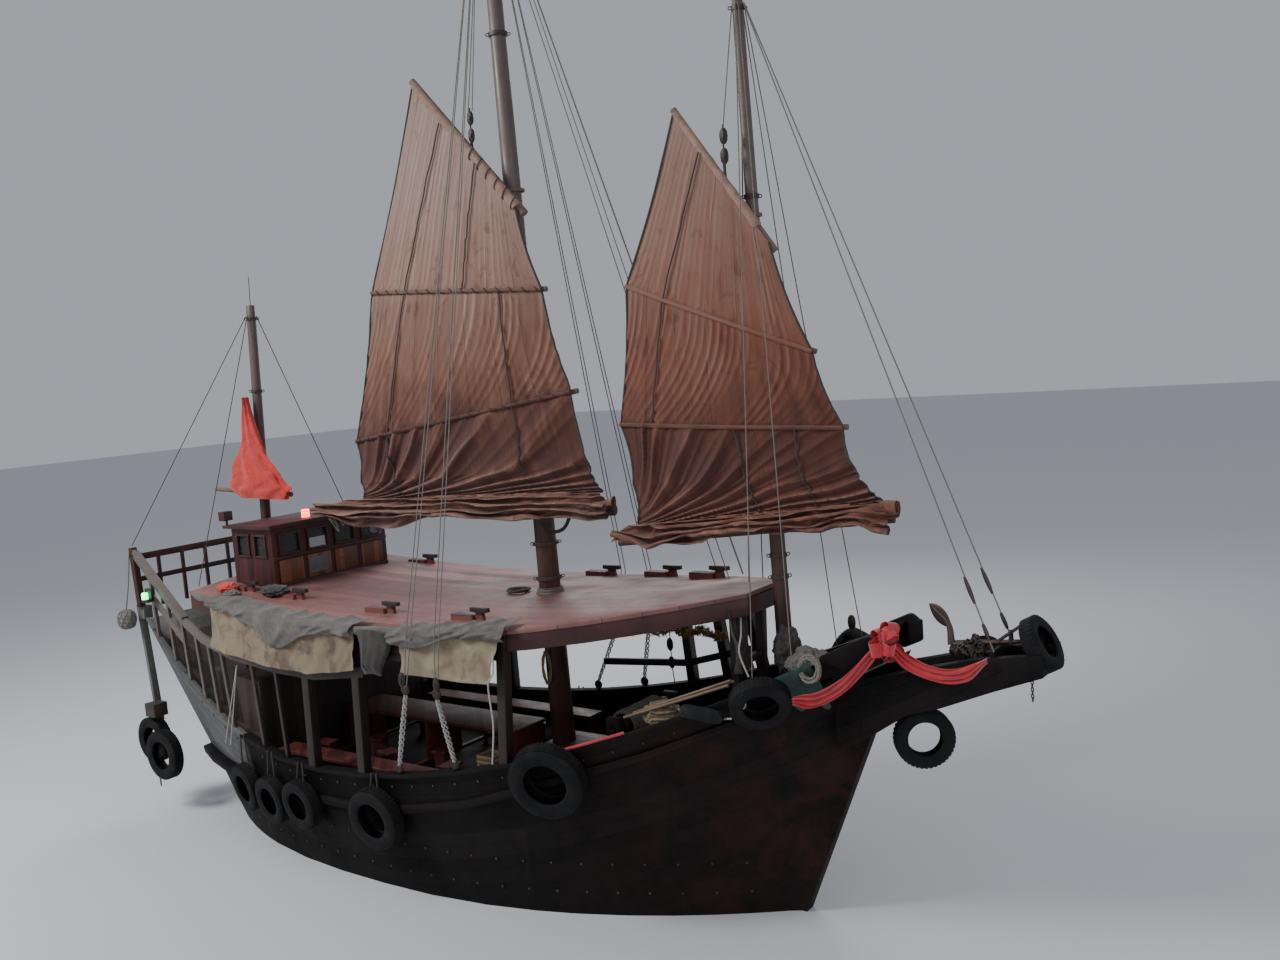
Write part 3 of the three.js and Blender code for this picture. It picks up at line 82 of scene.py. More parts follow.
@dataclass(frozen=True)
class Val:
    """A number socket that Python's operators turn into Math nodes."""

    kit: "Kit"
    socket: NodeSocket

    def math(self, operation: str, *values: object) -> "Val":
        """The result of one Math node with these inputs."""
        made = self.kit.node("Math", dict(enumerate(values)), operation=operation)
        return Val(self.kit, made.outputs[0])

    def __add__(self, other: object) -> "Val":
        """Sum."""
        return self.math("ADD", self, other)

    def __sub__(self, other: object) -> "Val":
        """Difference."""
        return self.math("SUBTRACT", self, other)

    def __rsub__(self, other: object) -> "Val":
        """Difference from a number."""
        return self.math("SUBTRACT", other, self)

    def __mul__(self, other: object) -> "Val":
        """Product."""
        return self.math("MULTIPLY", self, other)

    def __truediv__(self, other: object) -> "Val":
        """Quotient."""
        return self.math("DIVIDE", self, other)

    def __pow__(self, other: object) -> "Val":
        """Power."""
        return self.math("POWER", self, other)

    __radd__ = __add__
    __rmul__ = __mul__

    def unit(self) -> "Val":
        """The value held between 0 and 1."""
        return self.math("MINIMUM", self.math("MAXIMUM", self, 0.0), 1.0)

    def fract(self) -> "Val":
        """The part after the point."""
        return self.math("FRACT", self)

    def floor(self) -> "Val":
        """The whole part."""
        return self.math("FLOOR", self)

    def sine(self) -> "Val":
        """The sine of the value in radians."""
        return self.math("SINE", self)


class Kit:
    """A material under construction: one method adds any node, and the rest name common patterns."""

    def __init__(self, name: str) -> None:
        """Starts an empty material.

        Args:
            name: The material's name.
        """
        self.material = bpy.data.materials.new(name)
        self.material.use_nodes = True
        self.tree = self.material.node_tree
        self.tree.nodes.clear()
        self.object = self.node("TexCoord").outputs["Object"]

    def node(self, kind: str, inputs: dict | None = None, **settings: object) -> Node:
        """Adds a node.

        Args:
            kind: Blender's name of its type, after "ShaderNode".
            inputs: Values or links of its sockets, by name or index.
            settings: Attributes set first; "stops" fills a colour ramp.

        Returns:
            The new node.
        """
        made = self.tree.nodes.new(f"ShaderNode{kind}")
        for key, value in settings.items():
            if key != "stops":
                setattr(made, key, value)
                continue
            ramp = made.color_ramp.elements
            while len(ramp) < len(value):
                ramp.new(0.5)
            for element, (at, colour) in zip(ramp, value):
                element.position = at
                element.color = (*colour, 1.0)
        for key, value in (inputs or {}).items():
            source = value.socket if isinstance(value, Val) else value
            if isinstance(source, NodeSocket):
                self.tree.links.new(source, made.inputs[key])
            else:
                made.inputs[key].default_value = source
        return made

    def axes(self, vector: NodeSocket | None = None) -> tuple[Val, Val, Val]:
        """The three numbers of a vector, by default of the object's coordinates."""
        made = self.node("SeparateXYZ", {0: vector or self.object})
        return tuple(Val(self, out) for out in made.outputs)

    def cloth_map(self) -> NodeSocket:
        """The piece's own map, in metres."""
        return self.node("UVMap").outputs[0]

    def vector(self, x: object, y: object, z: object) -> NodeSocket:
        """A vector from three numbers or Vals."""
        return self.node("CombineXYZ", {0: x, 1: y, 2: z}).outputs[0]

    def stretched(self, scale: Place) -> NodeSocket:
        """The object's coordinates, scaled by axis."""
        return self.node("Mapping", {"Vector": self.object, "Scale": scale}).outputs[0]

    def noise(self, vector: NodeSocket, scale: float, detail: float = 4.0, twist: float = 0.0) -> Val:
        """Noise from 0 to 1 with scale cycles a metre, bent by itself as far as twist says."""
        inputs = {"Vector": vector, "Scale": scale, "Detail": detail, "Roughness": 0.6, "Distortion": twist}
        return Val(self, self.node("TexNoise", inputs).outputs[0])

    def chance(self, value: Val) -> Val:
        """One random number for each whole value."""
        return Val(self, self.node("TexWhiteNoise", {"W": value}, noise_dimensions="1D").outputs["Value"])

    def ramp(self, value: Val, stops: Sequence[tuple[float, Colour]]) -> NodeSocket:
        """A colour that follows a value through stops of (place, colour)."""
        return self.node("ValToRGB", {0: value}, stops=stops).outputs[0]

    def step(self, value: Val, low: float, high: float) -> Val:
        """0 up to low, 1 from high, and smooth between."""
        inputs = {"Value": value, "From Min": low, "From Max": high}
        return Val(self, self.node("MapRange", inputs, interpolation_type="SMOOTHSTEP").outputs[0])

    def mix(self, share: object, a: object, b: object) -> NodeSocket:
        """Blends two colours, each a tuple or a socket, by the share of the second."""
        full = [(*c, 1.0) if isinstance(c, tuple) else c for c in (a, b)]
        return self.node("Mix", {0: share, 6: full[0], 7: full[1]}, data_type="RGBA").outputs[2]

    def finish(self, colour: object, rough: object, height: Val | None = None, depth: float = 0.004,
               **more: object) -> Material:
        """Ends the material with its surface.

        Args:
            colour: Base colour or its socket.
            rough: Roughness or its Val.
            height: A relief from 0 to 1.
            depth: How deep the relief is, in metres.
            more: Other sockets of the surface, by name with underscores for spaces.

        Returns:
            The material.
        """
        inputs = {"Base Color": (*colour, 1.0) if isinstance(colour, tuple) else colour, "Roughness": rough}
        if height is not None:
            inputs["Normal"] = self.node("Bump",
                                         {"Strength": 1.0, "Distance": depth, "Height": height}).outputs[0]
        inputs.update({key.replace("_", " "): value for key, value in more.items()})
        shader = self.node("BsdfPrincipled", inputs)
        self.node("OutputMaterial", {0: shader.outputs[0]})
        return self.material


def shade(colour: Colour, share: float) -> Colour:
    """A colour made darker or lighter."""
    return tuple(min(1.0, c * share) for c in colour)


class Run(Enum):
    """Which way the boards of a planked surface lie."""

    STRAKES = "along the hull, following its sheer"
    DECK = "fore and aft on a deck"
    UPRIGHT = "up and down a wall"
    LONG = "a timber that lies fore and aft"
    POST = "a timber that stands"
    THWART = "a timber that lies across"


GRAIN = {Run.STRAKES: (1, 12, 12), Run.DECK: (1, 12, 12), Run.UPRIGHT: (12, 12, 1), Run.LONG: (1, 14, 14),
         Run.POST: (14, 14, 1), Run.THWART: (14, 1, 14)}


@dataclass(frozen=True)
class Finish:
    """A finish that is built once and shared by its pieces."""

    name: str

    def material(self) -> Material:
        """The Blender material, made at its first use."""
        return bpy.data.materials.get(self.name) or self.build(Kit(self.name))

    def build(self, kit: Kit) -> Material:
        """Fills the material; each kind of finish has its own."""
        raise NotImplementedError


@dataclass(frozen=True)
class Timber(Finish):
    """Wood, bare or painted, with grain, boards where it is planked, stains and worn places."""

    base: Colour
    worn: Colour
    run: Run
    board: float = 0.0
    rough: float = 0.6
    wear: float = 0.35
    grime: float = 0.5
    seam: float = 0.006
    gloss: float = 0.5

    def across(self, kit: Kit) -> tuple[Val, Val]:
        """Places across and along the boards.

        Args:
            kit: The material under construction.

        Returns:
            Metres across the boards and metres along them.
        """
        x, y, z = kit.axes()
        if self.run is Run.STRAKES:
            past = x - SHEER_X
            fore, aft = past.math("MAXIMUM", past, 0.0), past.math("MINIMUM", past, 0.0)
            return z - (fore * fore) * 0.027 - (aft * aft) * 0.05, x
        if self.run is Run.UPRIGHT:
            return x + y, z
        return y, x

    def build(self, kit: Kit) -> Material:
        """Makes the wood.

        Args:
            kit: The material under construction.

        Returns:
            The material.
        """
        grain = kit.noise(kit.stretched(GRAIN[self.run]), 9.0, 6.0, 0.6)
        fine = kit.noise(kit.stretched(GRAIN[self.run]), 40.0, 3.0)
        blotch = kit.noise(kit.object, 1.1, 5.0, 0.8)
        tint = grain * 0.5 + blotch * 0.5
        height = grain * 0.35 + fine * 0.2
        if self.board:
            across, along = self.across(kit)
            place = across / self.board
            board = place.floor()
            luck = kit.chance(board)
            edge = place.fract()
            near = edge.math("MINIMUM", edge, 1.0 - edge) * self.board
            butt = (along / 3.4 + luck).fract()
            near = near.math("MINIMUM", near, butt.math("MINIMUM", butt, 1.0 - butt) * 3.4)
            open_seam = 1.0 - kit.step(near, self.seam * 0.4, self.seam)
            tint = tint * 0.6 + luck * 0.4
            height = height + (1.0 - open_seam) * 1.6
        stops = [(0.0, shade(self.base, 0.62)), (0.5, self.base), (1.0, shade(self.base, 1.35))]
        colour = kit.ramp(kit.step(tint, 0.3, 0.75), stops)
        scuffed = kit.step(kit.noise(kit.stretched(GRAIN[self.run]), 2.3, 7.0, 1.2),
                           0.62 - 0.2 * self.wear, 0.72)
        colour = kit.mix(scuffed * self.wear, colour, self.worn)
        dirt = kit.step(kit.noise(kit.stretched((1.6, 1.6, 0.5)), 1.7, 6.0, 0.5), 0.45, 0.75)
        colour = kit.mix(dirt * self.grime, colour, shade(self.base, 0.35))
        if self.board:
            colour = kit.mix(open_seam * 0.85, colour, shade(self.base, 0.12))
        rough = kit.step(blotch, 0.2, 0.8) * 0.25 + (self.rough - 0.1)
        return kit.finish(self.over(kit, colour), rough.unit(), height, 0.003 if self.board else 0.0015,
                          Specular_IOR_Level=self.gloss)

    def over(self, kit: Kit, colour: NodeSocket) -> NodeSocket:
        """What lies over the wood: nothing, unless a kind of timber says so."""
        return colour


@dataclass(frozen=True)
class RoofBoards(Timber):
    """The painted roof, with dark cleats on red-brown pads."""

    cleat: Colour = (0.03, 0.018, 0.015)
    pad: Colour = (0.14, 0.035, 0.028)

    def over(self, kit: Kit, colour: NodeSocket) -> NodeSocket:
        """Colours what stands above the boards.

        Args:
            kit: The material under construction.
            colour: The boards' colour.

        Returns:
            The colour of boards, pads and cleats.
        """
        x, y, z = kit.axes()
        rise, camber = (x - ROOF_X) * (x - ROOF_X) * ROOF_RISE, y * y * (ROOF_CAMBER / ROOF_HALF ** 2)
        proud = z - rise + camber - ROOF_Z
        colour = kit.mix(kit.step(proud, 0.004, 0.009), colour, self.pad)
        return kit.mix(kit.step(proud, 0.079, 0.083), colour, self.cleat)


@dataclass(frozen=True)
class HullStrakes(Timber):
    """Tarred strakes, with old red-brown paint showing through at the bow."""

    paint: Colour = (0.032, 0.011, 0.009)

    def over(self, kit: Kit, colour: NodeSocket) -> NodeSocket:
        """Lets the old paint show forward of the waist."""
        x, _, z = kit.axes()
        worn = kit.step(kit.noise(kit.object, 1.6, 8.0, 0.7), 0.35, 0.65)
        return kit.mix(worn * kit.step(x, 2.5, 6.5) * kit.step(3.4 - z, 0.0, 0.8) * 0.8, colour, self.paint)


@dataclass(frozen=True)
class AgedRail(Timber):
    """A dark rail that is weathered grey at the stern."""

    aged: Colour = (0.17, 0.145, 0.122)

    def over(self, kit: Kit, colour: NodeSocket) -> NodeSocket:
        """Greys the rail towards the stern."""
        x, _, z = kit.axes()
        grain = kit.noise(kit.vector(x * 0.6, 0.0, z * 6.0), 5.0, 8.0, 0.4)
        return kit.mix(kit.step(0.0 - x, 1.6, 4.6) * (grain * 0.8 + 0.3).unit(), colour, self.aged)


@dataclass(frozen=True)
class MastTimber(Timber):
    """A mast that is red-brown low down and bleached to grey-brown above."""

    aged: Colour = (0.13, 0.1, 0.092)

    def over(self, kit: Kit, colour: NodeSocket) -> NodeSocket:
        """Bleaches the mast above the booms."""
        z = kit.axes()[2]
        grain = kit.noise(kit.object, 3.0, 8.0, 0.6)
        return kit.mix(kit.step(z, 5.4, 8.5) * (grain * 0.7 + 0.35).unit(), colour, self.aged)


@dataclass(frozen=True)
class Sailcloth(Finish):
    """Tanned canvas: pale where the sun bleached it, dark and wet low down, with streaks and seams, and
    painted shade and painted highlights on its folds.
    """

    low: float
    high: float
    pale: Colour
    warm: Colour
    dark: Colour
    seams: float = 0.62

    def build(self, kit: Kit) -> Material:
        """Makes the canvas. Its map runs from fore to aft in u and along the cloth in v, in metres.

        Args:
            kit: The material under construction.

        Returns:
            The material.
        """
        z = kit.axes()[2]
        u, v, _ = kit.axes(kit.cloth_map())
        rise = (z - self.low) / (self.high - self.low)
        height = rise.math("MAXIMUM", rise, (self.low - z) / 2.2)
        fold = Val(kit, kit.node("Attribute", attribute_name="fold").outputs["Fac"])
        streak = kit.noise(kit.vector(u * 3.2, v * 0.35, 0.0), 1.6, 7.0, 0.4)
        blotch = kit.noise(kit.vector(u, v, 3.0), 0.9, 6.0, 0.9)
        age = height + (streak - 0.5) * 0.5 + (blotch - 0.5) * 0.4
        mid = tuple((p + w) / 2 for p, w in zip(self.pale, self.warm))
        deep = shade(self.dark, 0.55)
        colour = kit.ramp(age.unit(), [(0.0, deep), (0.08, self.dark), (0.26, self.warm),
                                        (0.5, mid), (0.8, self.pale)])
        stain = kit.step(kit.noise(kit.vector(u * 1.5, v * 1.1, 7.0), 1.9, 8.0, 1.6), 0.56, 0.7)
        colour = kit.mix(stain * 0.45, colour, shade(self.dark, 0.5))
        bleach = kit.step(kit.noise(kit.vector(u * 5.0, v * 0.5, 1.0), 1.3, 6.0), 0.58, 0.72)
        colour = kit.mix(bleach * height.unit() * 0.4, colour, shade(self.pale, 1.35))
        # Painted shade in the fold valleys (towards deep) and a painted highlight on the crests (towards
        # pale), read from the fold attribute
        colour = kit.mix((1.0 - fold).unit() * 0.9, colour, deep)
        colour = kit.mix(((fold - 0.75) * 2.0).unit() * 0.3, colour, shade(self.pale, 1.1))
        strip = (u / self.seams).fract()
        near = strip.math("MINIMUM", strip, 1.0 - strip) * self.seams
        seam = 1.0 - kit.step(near, 0.006, 0.016)
        colour = kit.mix(seam * 0.4, colour, deep)
        weave = (u * 900.0).sine() * (v * 900.0).sine()
        crease = kit.noise(kit.vector(u * 4.0, v * 1.2, 5.0), 3.0, 8.0, 1.2)
        relief = crease * 1.0 + seam * 0.25 + weave * 0.04
        return kit.finish(colour, 0.9, relief, 0.012, Sheen_Weight=0.1, Sheen_Roughness=0.6)


@dataclass(frozen=True)
class Canvas(Finish):
    """Plain cloth with a weave, soft mottling, spots of dirt and a creased relief."""

    base: Colour
    stain: Colour
    soil: float = 0.6
    scale: float = 2.4
    sheen: float = 0.15
    twist: float = 1.4

    def build(self, kit: Kit) -> Material:
        """Makes the cloth.

        Args:
            kit: The material under construction.

        Returns:
            The material.
        """
        soft = kit.noise(kit.object, self.scale, 7.0, 0.8)
        spots = kit.step(kit.noise(kit.object, self.scale * 2.6, 8.0, self.twist), 0.46, 0.64)
        colour = kit.ramp(kit.step(soft, 0.3, 0.7), [(0.0, shade(self.base, 0.7)), (1.0, self.base)])
        colour = kit.mix(spots * self.soil, colour, self.stain)
        x, y, z = kit.axes()
        weave = ((x + y) * 1100.0).sine() * (z * 1100.0).sine()
        relief = kit.noise(kit.object, 7.0, 8.0, self.twist * 0.7) + weave * 0.05
        return kit.finish(colour, 0.9, relief, 0.008, Sheen_Weight=self.sheen)


@dataclass(frozen=True)
class Rope(Finish):
    """Laid rope: strands that wind round it. Its map runs round in u and along in v, in metres."""

    base: Colour
    lay: float = 14.0

    def build(self, kit: Kit) -> Material:
        """Makes the rope.

        Args:
            kit: The material under construction.

        Returns:
            The material.
        """
        u, v, _ = kit.axes(kit.cloth_map())
        strand = ((u * 3.0 + v * self.lay) * tau).sine() * 0.5 + 0.5
        dirt = kit.noise(kit.object, 5.0, 6.0)
        dark = shade(self.base, 0.4)
        # Painted shade in the grooves between the strands, mixed with random tone from the dirt noise
        colour = kit.ramp((strand * 0.55 + dirt * 0.55).unit(), [(0.1, dark), (0.8, self.base)])
        return kit.finish(colour, 0.9, strand, 0.004)


@dataclass(frozen=True)
class Plain(Finish):
    """Rubber, metal, glass and the like: one colour with mottling, dust and fine relief."""

    base: Colour
    other: Colour
    rough: float = 0.6
    metal: float = 0.0
    scale: float = 6.0
    share: float = 0.5
    relief: float = 0.002
    coat: float = 0.0
    solid: float = 1.0
    gloss: float = 0.5

    def build(self, kit: Kit) -> Material:
        """Makes the finish.

        Args:
            kit: The material under construction.

        Returns:
            The material.
        """
        mottle = kit.noise(kit.object, self.scale, 8.0, 0.6)
        spots = kit.step(mottle, 0.42, 0.66)
        colour = kit.mix(spots * self.share, self.base, self.other)
        rough = (kit.noise(kit.object, self.scale * 3.0, 4.0) * 0.3 + (self.rough - 0.15)).unit()
        return kit.finish(colour, rough, mottle, self.relief, Metallic=self.metal, Coat_Weight=self.coat,
                          Alpha=self.solid, Specular_IOR_Level=self.gloss)


@dataclass(frozen=True)
class Glow(Finish):
    """A lit lens."""

    colour: Colour
    strength: float = 6.0

    def build(self, kit: Kit) -> Material:
        """Makes the lens.

        Args:
            kit: The material under construction.

        Returns:
            The material.
        """
        ribs = (kit.axes()[2] * 260.0).sine() * 0.5 + 0.5
        full = (*self.colour, 1.0)
        return kit.finish(self.colour, 0.25, ribs, 0.002, Emission_Color=full,
                          Emission_Strength=self.strength)


class Look:
    """Every finish of the ship."""

    TAR = HullStrakes("tarred_strakes", (0.007, 0.005, 0.005), (0.024, 0.016, 0.014), Run.STRAKES,
                      0.21, 0.72, 0.35, 0.5, 0.006, 0.2)
    DECK = Timber("deck_boards", (0.032, 0.02, 0.016), (0.085, 0.06, 0.048), Run.DECK, 0.15, 0.7, 0.4, 0.6)
    GREY = Timber("grey_planks", (0.1, 0.1, 0.1), (0.25, 0.24, 0.225), Run.STRAKES, 0.17, 0.85, 0.5, 0.75)
    GREY_POST = Timber("grey_timber", (0.13, 0.125, 0.12), (0.3, 0.29, 0.27), Run.POST, 0.0, 0.85, 0.5, 0.6)
    DARK = AgedRail("dark_rail", (0.022, 0.012, 0.01), (0.075, 0.046, 0.036), Run.LONG, 0.0, 0.55, 0.35, 0.5)
    DARK_POST = Timber("dark_post", (0.024, 0.013, 0.01), (0.08, 0.048, 0.037), Run.POST,
                       0.0, 0.55, 0.35, 0.5)
    ROOF = RoofBoards("roof_boards", (0.2, 0.088, 0.077), (0.29, 0.172, 0.152), Run.DECK, 0.26,
                      0.6, 0.3, 0.3, 0.003)
    RED = Timber("red_boards", (0.1, 0.023, 0.018), (0.17, 0.068, 0.048), Run.UPRIGHT, 0.14,
                 0.5, 0.3, 0.5, 0.004)
    CABIN = Timber("cabin_boards", (0.055, 0.011, 0.009), (0.115, 0.036, 0.026), Run.UPRIGHT, 0.14,
                   0.5, 0.3, 0.5, 0.004)
    BOOM = Timber("boom_pole", (0.09, 0.045, 0.034), (0.18, 0.115, 0.088), Run.LONG, 0.0, 0.7, 0.4, 0.5)
    RED_RAIL = Timber("red_rail", (0.055, 0.014, 0.012), (0.13, 0.052, 0.04), Run.LONG, 0.0, 0.5, 0.3, 0.5)
    PANEL = Timber("orange_panel", (0.2, 0.07, 0.03), (0.3, 0.14, 0.07), Run.UPRIGHT, 0.12,
                   0.4, 0.2, 0.3, 0.003)
    MAST = MastTimber("mast_varnish", (0.07, 0.032, 0.026), (0.16, 0.095, 0.08), Run.POST,
                      0.0, 0.45, 0.4, 0.45)
    SPAR = Timber("spar_pole", (0.17, 0.11, 0.085), (0.3, 0.22, 0.17), Run.LONG, 0.0, 0.7, 0.4, 0.5)
    MAIN_SAIL = Sailcloth("main_canvas", 6.5, 12.2, (0.37, 0.262, 0.215), (0.27, 0.122, 0.08),
                          (0.115, 0.034, 0.02))
    FORE_SAIL = Sailcloth("fore_canvas", 6.3, 12.2, (0.32, 0.2, 0.155), (0.235, 0.08, 0.048),
                          (0.125, 0.034, 0.019))
    RED_SAIL = Canvas("red_canvas", (0.68, 0.055, 0.045), (0.3, 0.02, 0.018), 0.5, 1.6, 0.3)
    TAN = Canvas("tan_banner", (0.27, 0.205, 0.13), (0.09, 0.056, 0.034), 0.85, 0.8, 0.15, 0.5)
    CREAM = Canvas("cream_banner", (0.34, 0.28, 0.185), (0.15, 0.1, 0.055), 0.7, 0.9, 0.15, 0.5)
    TARP = Canvas("grey_tarp", (0.14, 0.128, 0.115), (0.07, 0.06, 0.055), 0.5)
    DARK_CANVAS = Canvas("dark_canvas", (0.05, 0.042, 0.038), (0.02, 0.017, 0.016), 0.5)
    TINSEL_GREEN = Canvas("green_tinsel", (0.03, 0.2, 0.05), (0.01, 0.1, 0.02), 0.3, 9.0)
    TINSEL_GOLD = Canvas("gold_tinsel", (0.55, 0.36, 0.08), (0.3, 0.16, 0.03), 0.3, 9.0)
    NET = Canvas("green_net", (0.025, 0.075, 0.06), (0.01, 0.03, 0.025), 0.6, 5.0)
    RIBBON = Canvas("red_ribbon", (0.62, 0.03, 0.045), (0.35, 0.012, 0.02), 0.3, 3.0, 0.4)
    HEMP = Rope("grey_rope", (0.24, 0.22, 0.19))
    DARK_ROPE = Rope("dark_rope", (0.07, 0.06, 0.052))
    WHITE_ROPE = Rope("white_rope", (0.5, 0.49, 0.46))
    YELLOW_ROPE = Rope("yellow_rope", (0.36, 0.29, 0.15))
    RUBBER = Plain("worn_rubber", (0.006, 0.006, 0.0065), (0.02, 0.019, 0.018), 0.8, 0.0, 5.0,
                   0.5, 0.003, gloss=0.25)
    IRON = Plain("rusty_iron", (0.06, 0.058, 0.058), (0.13, 0.055, 0.03), 0.55, 0.6, 9.0, 0.6, 0.002)
    BRONZE = Plain("bronze_propeller", (0.4, 0.26, 0.1), (0.12, 0.15, 0.1), 0.4, 0.9, 6.0, 0.4, 0.001)
    GLASS = Plain("dark_glass", (0.05, 0.055, 0.06), (0.09, 0.09, 0.09), 0.2, 0.0, 3.0, 0.3, 0.0002, 0.6, 0.4)
    SKIN = Plain("fender_skin", (0.014, 0.014, 0.015), (0.035, 0.035, 0.037), 0.8, 0.0, 4.0, 0.5, gloss=0.2)
    BAMBOO = Timber("bamboo", (0.2, 0.14, 0.08), (0.36, 0.29, 0.19), Run.LONG, 0.0, 0.6, 0.4, 0.4)
    BOX = Plain("grey_paint", (0.13, 0.135, 0.14), (0.06, 0.06, 0.06), 0.6, 0.1, 7.0, 0.5)
    HEAD = Canvas("yard_wrap", (0.36, 0.23, 0.175), (0.2, 0.1, 0.07), 0.5)
    RED_LIGHT = Glow("red_lens", (1.0, 0.06, 0.03), 9.0)
    GREEN_LIGHT = Glow("green_lens", (0.05, 1.0, 0.25), 6.0)


# Meshes

@dataclass
class Shape:
    """Points and faces of a piece, with a place on its finish's own map for every corner."""

    points: list[Vector] = field(default_factory=list)
    faces: list[tuple[int, ...]] = field(default_factory=list)
    marks: list[tuple[float, float]] = field(default_factory=list)

    def add(self, other: "Shape") -> "Shape":
        """Adds another shape's faces.

        Args:
            other: The shape to add.

        Returns:
            This shape.
        """
        start = len(self.points)
        self.points += other.points
        self.faces += [tuple(i + start for i in face) for face in other.faces]
        self.marks += other.marks
        return self

    def moved(self, matrix: Matrix) -> "Shape":
        """A copy carried by a matrix."""
        return Shape([matrix @ p for p in self.points], self.faces, self.marks)


def skin(rings: Sequence[Ring], wrap: bool = True, caps: bool = True) -> Shape:
    """Skins a row of rings.

    Args:
        rings: Rings of as many points each.
        wrap: Whether each ring closes on itself.
        caps: Whether the first and last ring are filled, when the rings close.

    Returns:
        The shape, its map running round each ring in u and from ring to ring in v, in metres.
    """
    count = len(rings[0])
    shape = Shape([p.copy() for ring in rings for p in ring])
    v = [0.0]
    for a, b in zip(rings, rings[1:]):
        v.append(v[-1] + sum((q - p).length for p, q in zip(a, b)) / count)
    girth = [0.0]
    middle = rings[len(rings) // 2]
    for j in range(count):
        girth.append(girth[-1] + (middle[(j + 1) % count] - middle[j]).length)
    u = [g / girth[-1] if wrap else g for g in girth]
    for i in range(len(rings) - 1):
        for j in range(count if wrap else count - 1):
            k = (j + 1) % count
            shape.faces.append((i * count + j, i * count + k, (i + 1) * count + k, (i + 1) * count + j))
            shape.marks += [(u[j], v[i]), (u[j + 1], v[i]), (u[j + 1], v[i + 1]), (u[j], v[i + 1])]
    if wrap and caps:
        last = (len(rings) - 1) * count
        shape.faces += [tuple(reversed(range(count))), tuple(range(last, last + count))]
        shape.marks += [(0.0, 0.0)] * (2 * count)
    return shape


def angles(count: int) -> list[float]:
    """Equal turns of a circle, from 0."""
    return [tau * k / count for k in range(count)]


def tube(path: Sequence[Sequence[float]], radius: float | Callable[[float], float], sides: int = 8,
         loop: bool = False) -> Shape:
    """A round bar along a path.

    Args:
        path: Its points.
        radius: Its radius, or the radius at each share of its length.
        sides: Faces round it.
        loop: Whether it closes on itself.

    Returns:
        The shape.
    """
    points = [Vector(p) for p in path]
    count = len(points)
    size = radius if callable(radius) else (lambda _: radius)
    rings: list[Ring] = []
    normal = None
    for i in range(count + (1 if loop else 0)):
        before = points[(i - 1) % count] if loop else points[max(i - 1, 0)]
        after = points[(i + 1) % count] if loop else points[min(i + 1, count - 1)]
        tangent = (after - before).normalized()
        normal = tangent.orthogonal() if normal is None else normal
        normal = (normal - normal.dot(tangent) * tangent).normalized()
        side = tangent.cross(normal)
        r = size(i / max(1, count - 1))
        rings.append([points[i % count] + (normal * cos(a) + side * sin(a)) * r for a in angles(sides)])
    return skin(rings, True, not loop)


def lathe(profile: Sequence[tuple[float, float]], place: Matrix, sides: int = 32) -> Shape:
    """Turns a closed profile of (radius, height) about the place's own Z.

    Args:
        profile: The closed loop.
        place: Where it goes.
        sides: Faces round it.

    Returns:
        The shape.
    """
    rings = [[place @ Vector((r * cos(a), r * sin(a), h)) for r, h in profile]
             for a in (*angles(sides), tau)]
    return skin(rings, True, False)


def board(a: Sequence[float], b: Sequence[float], wide: float, high: float, up: Vector = UP) -> Shape:
    """A straight plank from a to b, as wide across and high along up as given.

    Args:
        a: The middle of its first end.
        b: The middle of its other end.
        wide: Its width.
        high: Its thickness, along up.
        up: Which way its thickness goes.

    Returns:
        The shape.
    """
    start, end = Vector(a), Vector(b)
    along = (end - start).normalized()
    across = up.cross(along)
    across = (across if across.length > 0.1 else Vector((0, 1, 0))).normalized()
    rise = along.cross(across)
    corners = [(1, 1), (-1, 1), (-1, -1), (1, -1)]
    rings = [[p + across * (wide / 2 * s) + rise * (high / 2 * t) for s, t in corners] for p in (start, end)]
    return skin(rings)


def block(low: Sequence[float], high: Sequence[float]) -> Shape:
    """A box between two corners."""
    (x0, y0, z0), (x1, y1, z1) = low, high
    y, z = (y0 + y1) / 2, (z0 + z1) / 2
    return board((x0, y, z), (x1, y, z), abs(y1 - y0), abs(z1 - z0))


def grid(rows: int, columns: int, place: Callable[[float, float], object]) -> list[list]:
    """Rows of places, each read from its share of the way down and of the way across."""
    return [[place(r / rows, c / columns) for c in range(columns + 1)] for r in range(rows + 1)]


def linked(name: str, data: ID) -> Object:
    """An object of some data, put in the scene."""
    obj = bpy.data.objects.new(name, data)
    bpy.context.scene.collection.objects.link(obj)
    return obj


def plain_mesh(obj: Object) -> Object:
    """Turns an object's evaluated result into its own mesh and drops its modifiers.

    Args:
        obj: The object.

    Returns:
        The same object.
    """
    bpy.context.view_layer.update()
    graph = bpy.context.evaluated_depsgraph_get()
    result = bpy.data.meshes.new_from_object(obj.evaluated_get(graph))
    obj.modifiers.clear()
    obj.data = result
    return obj


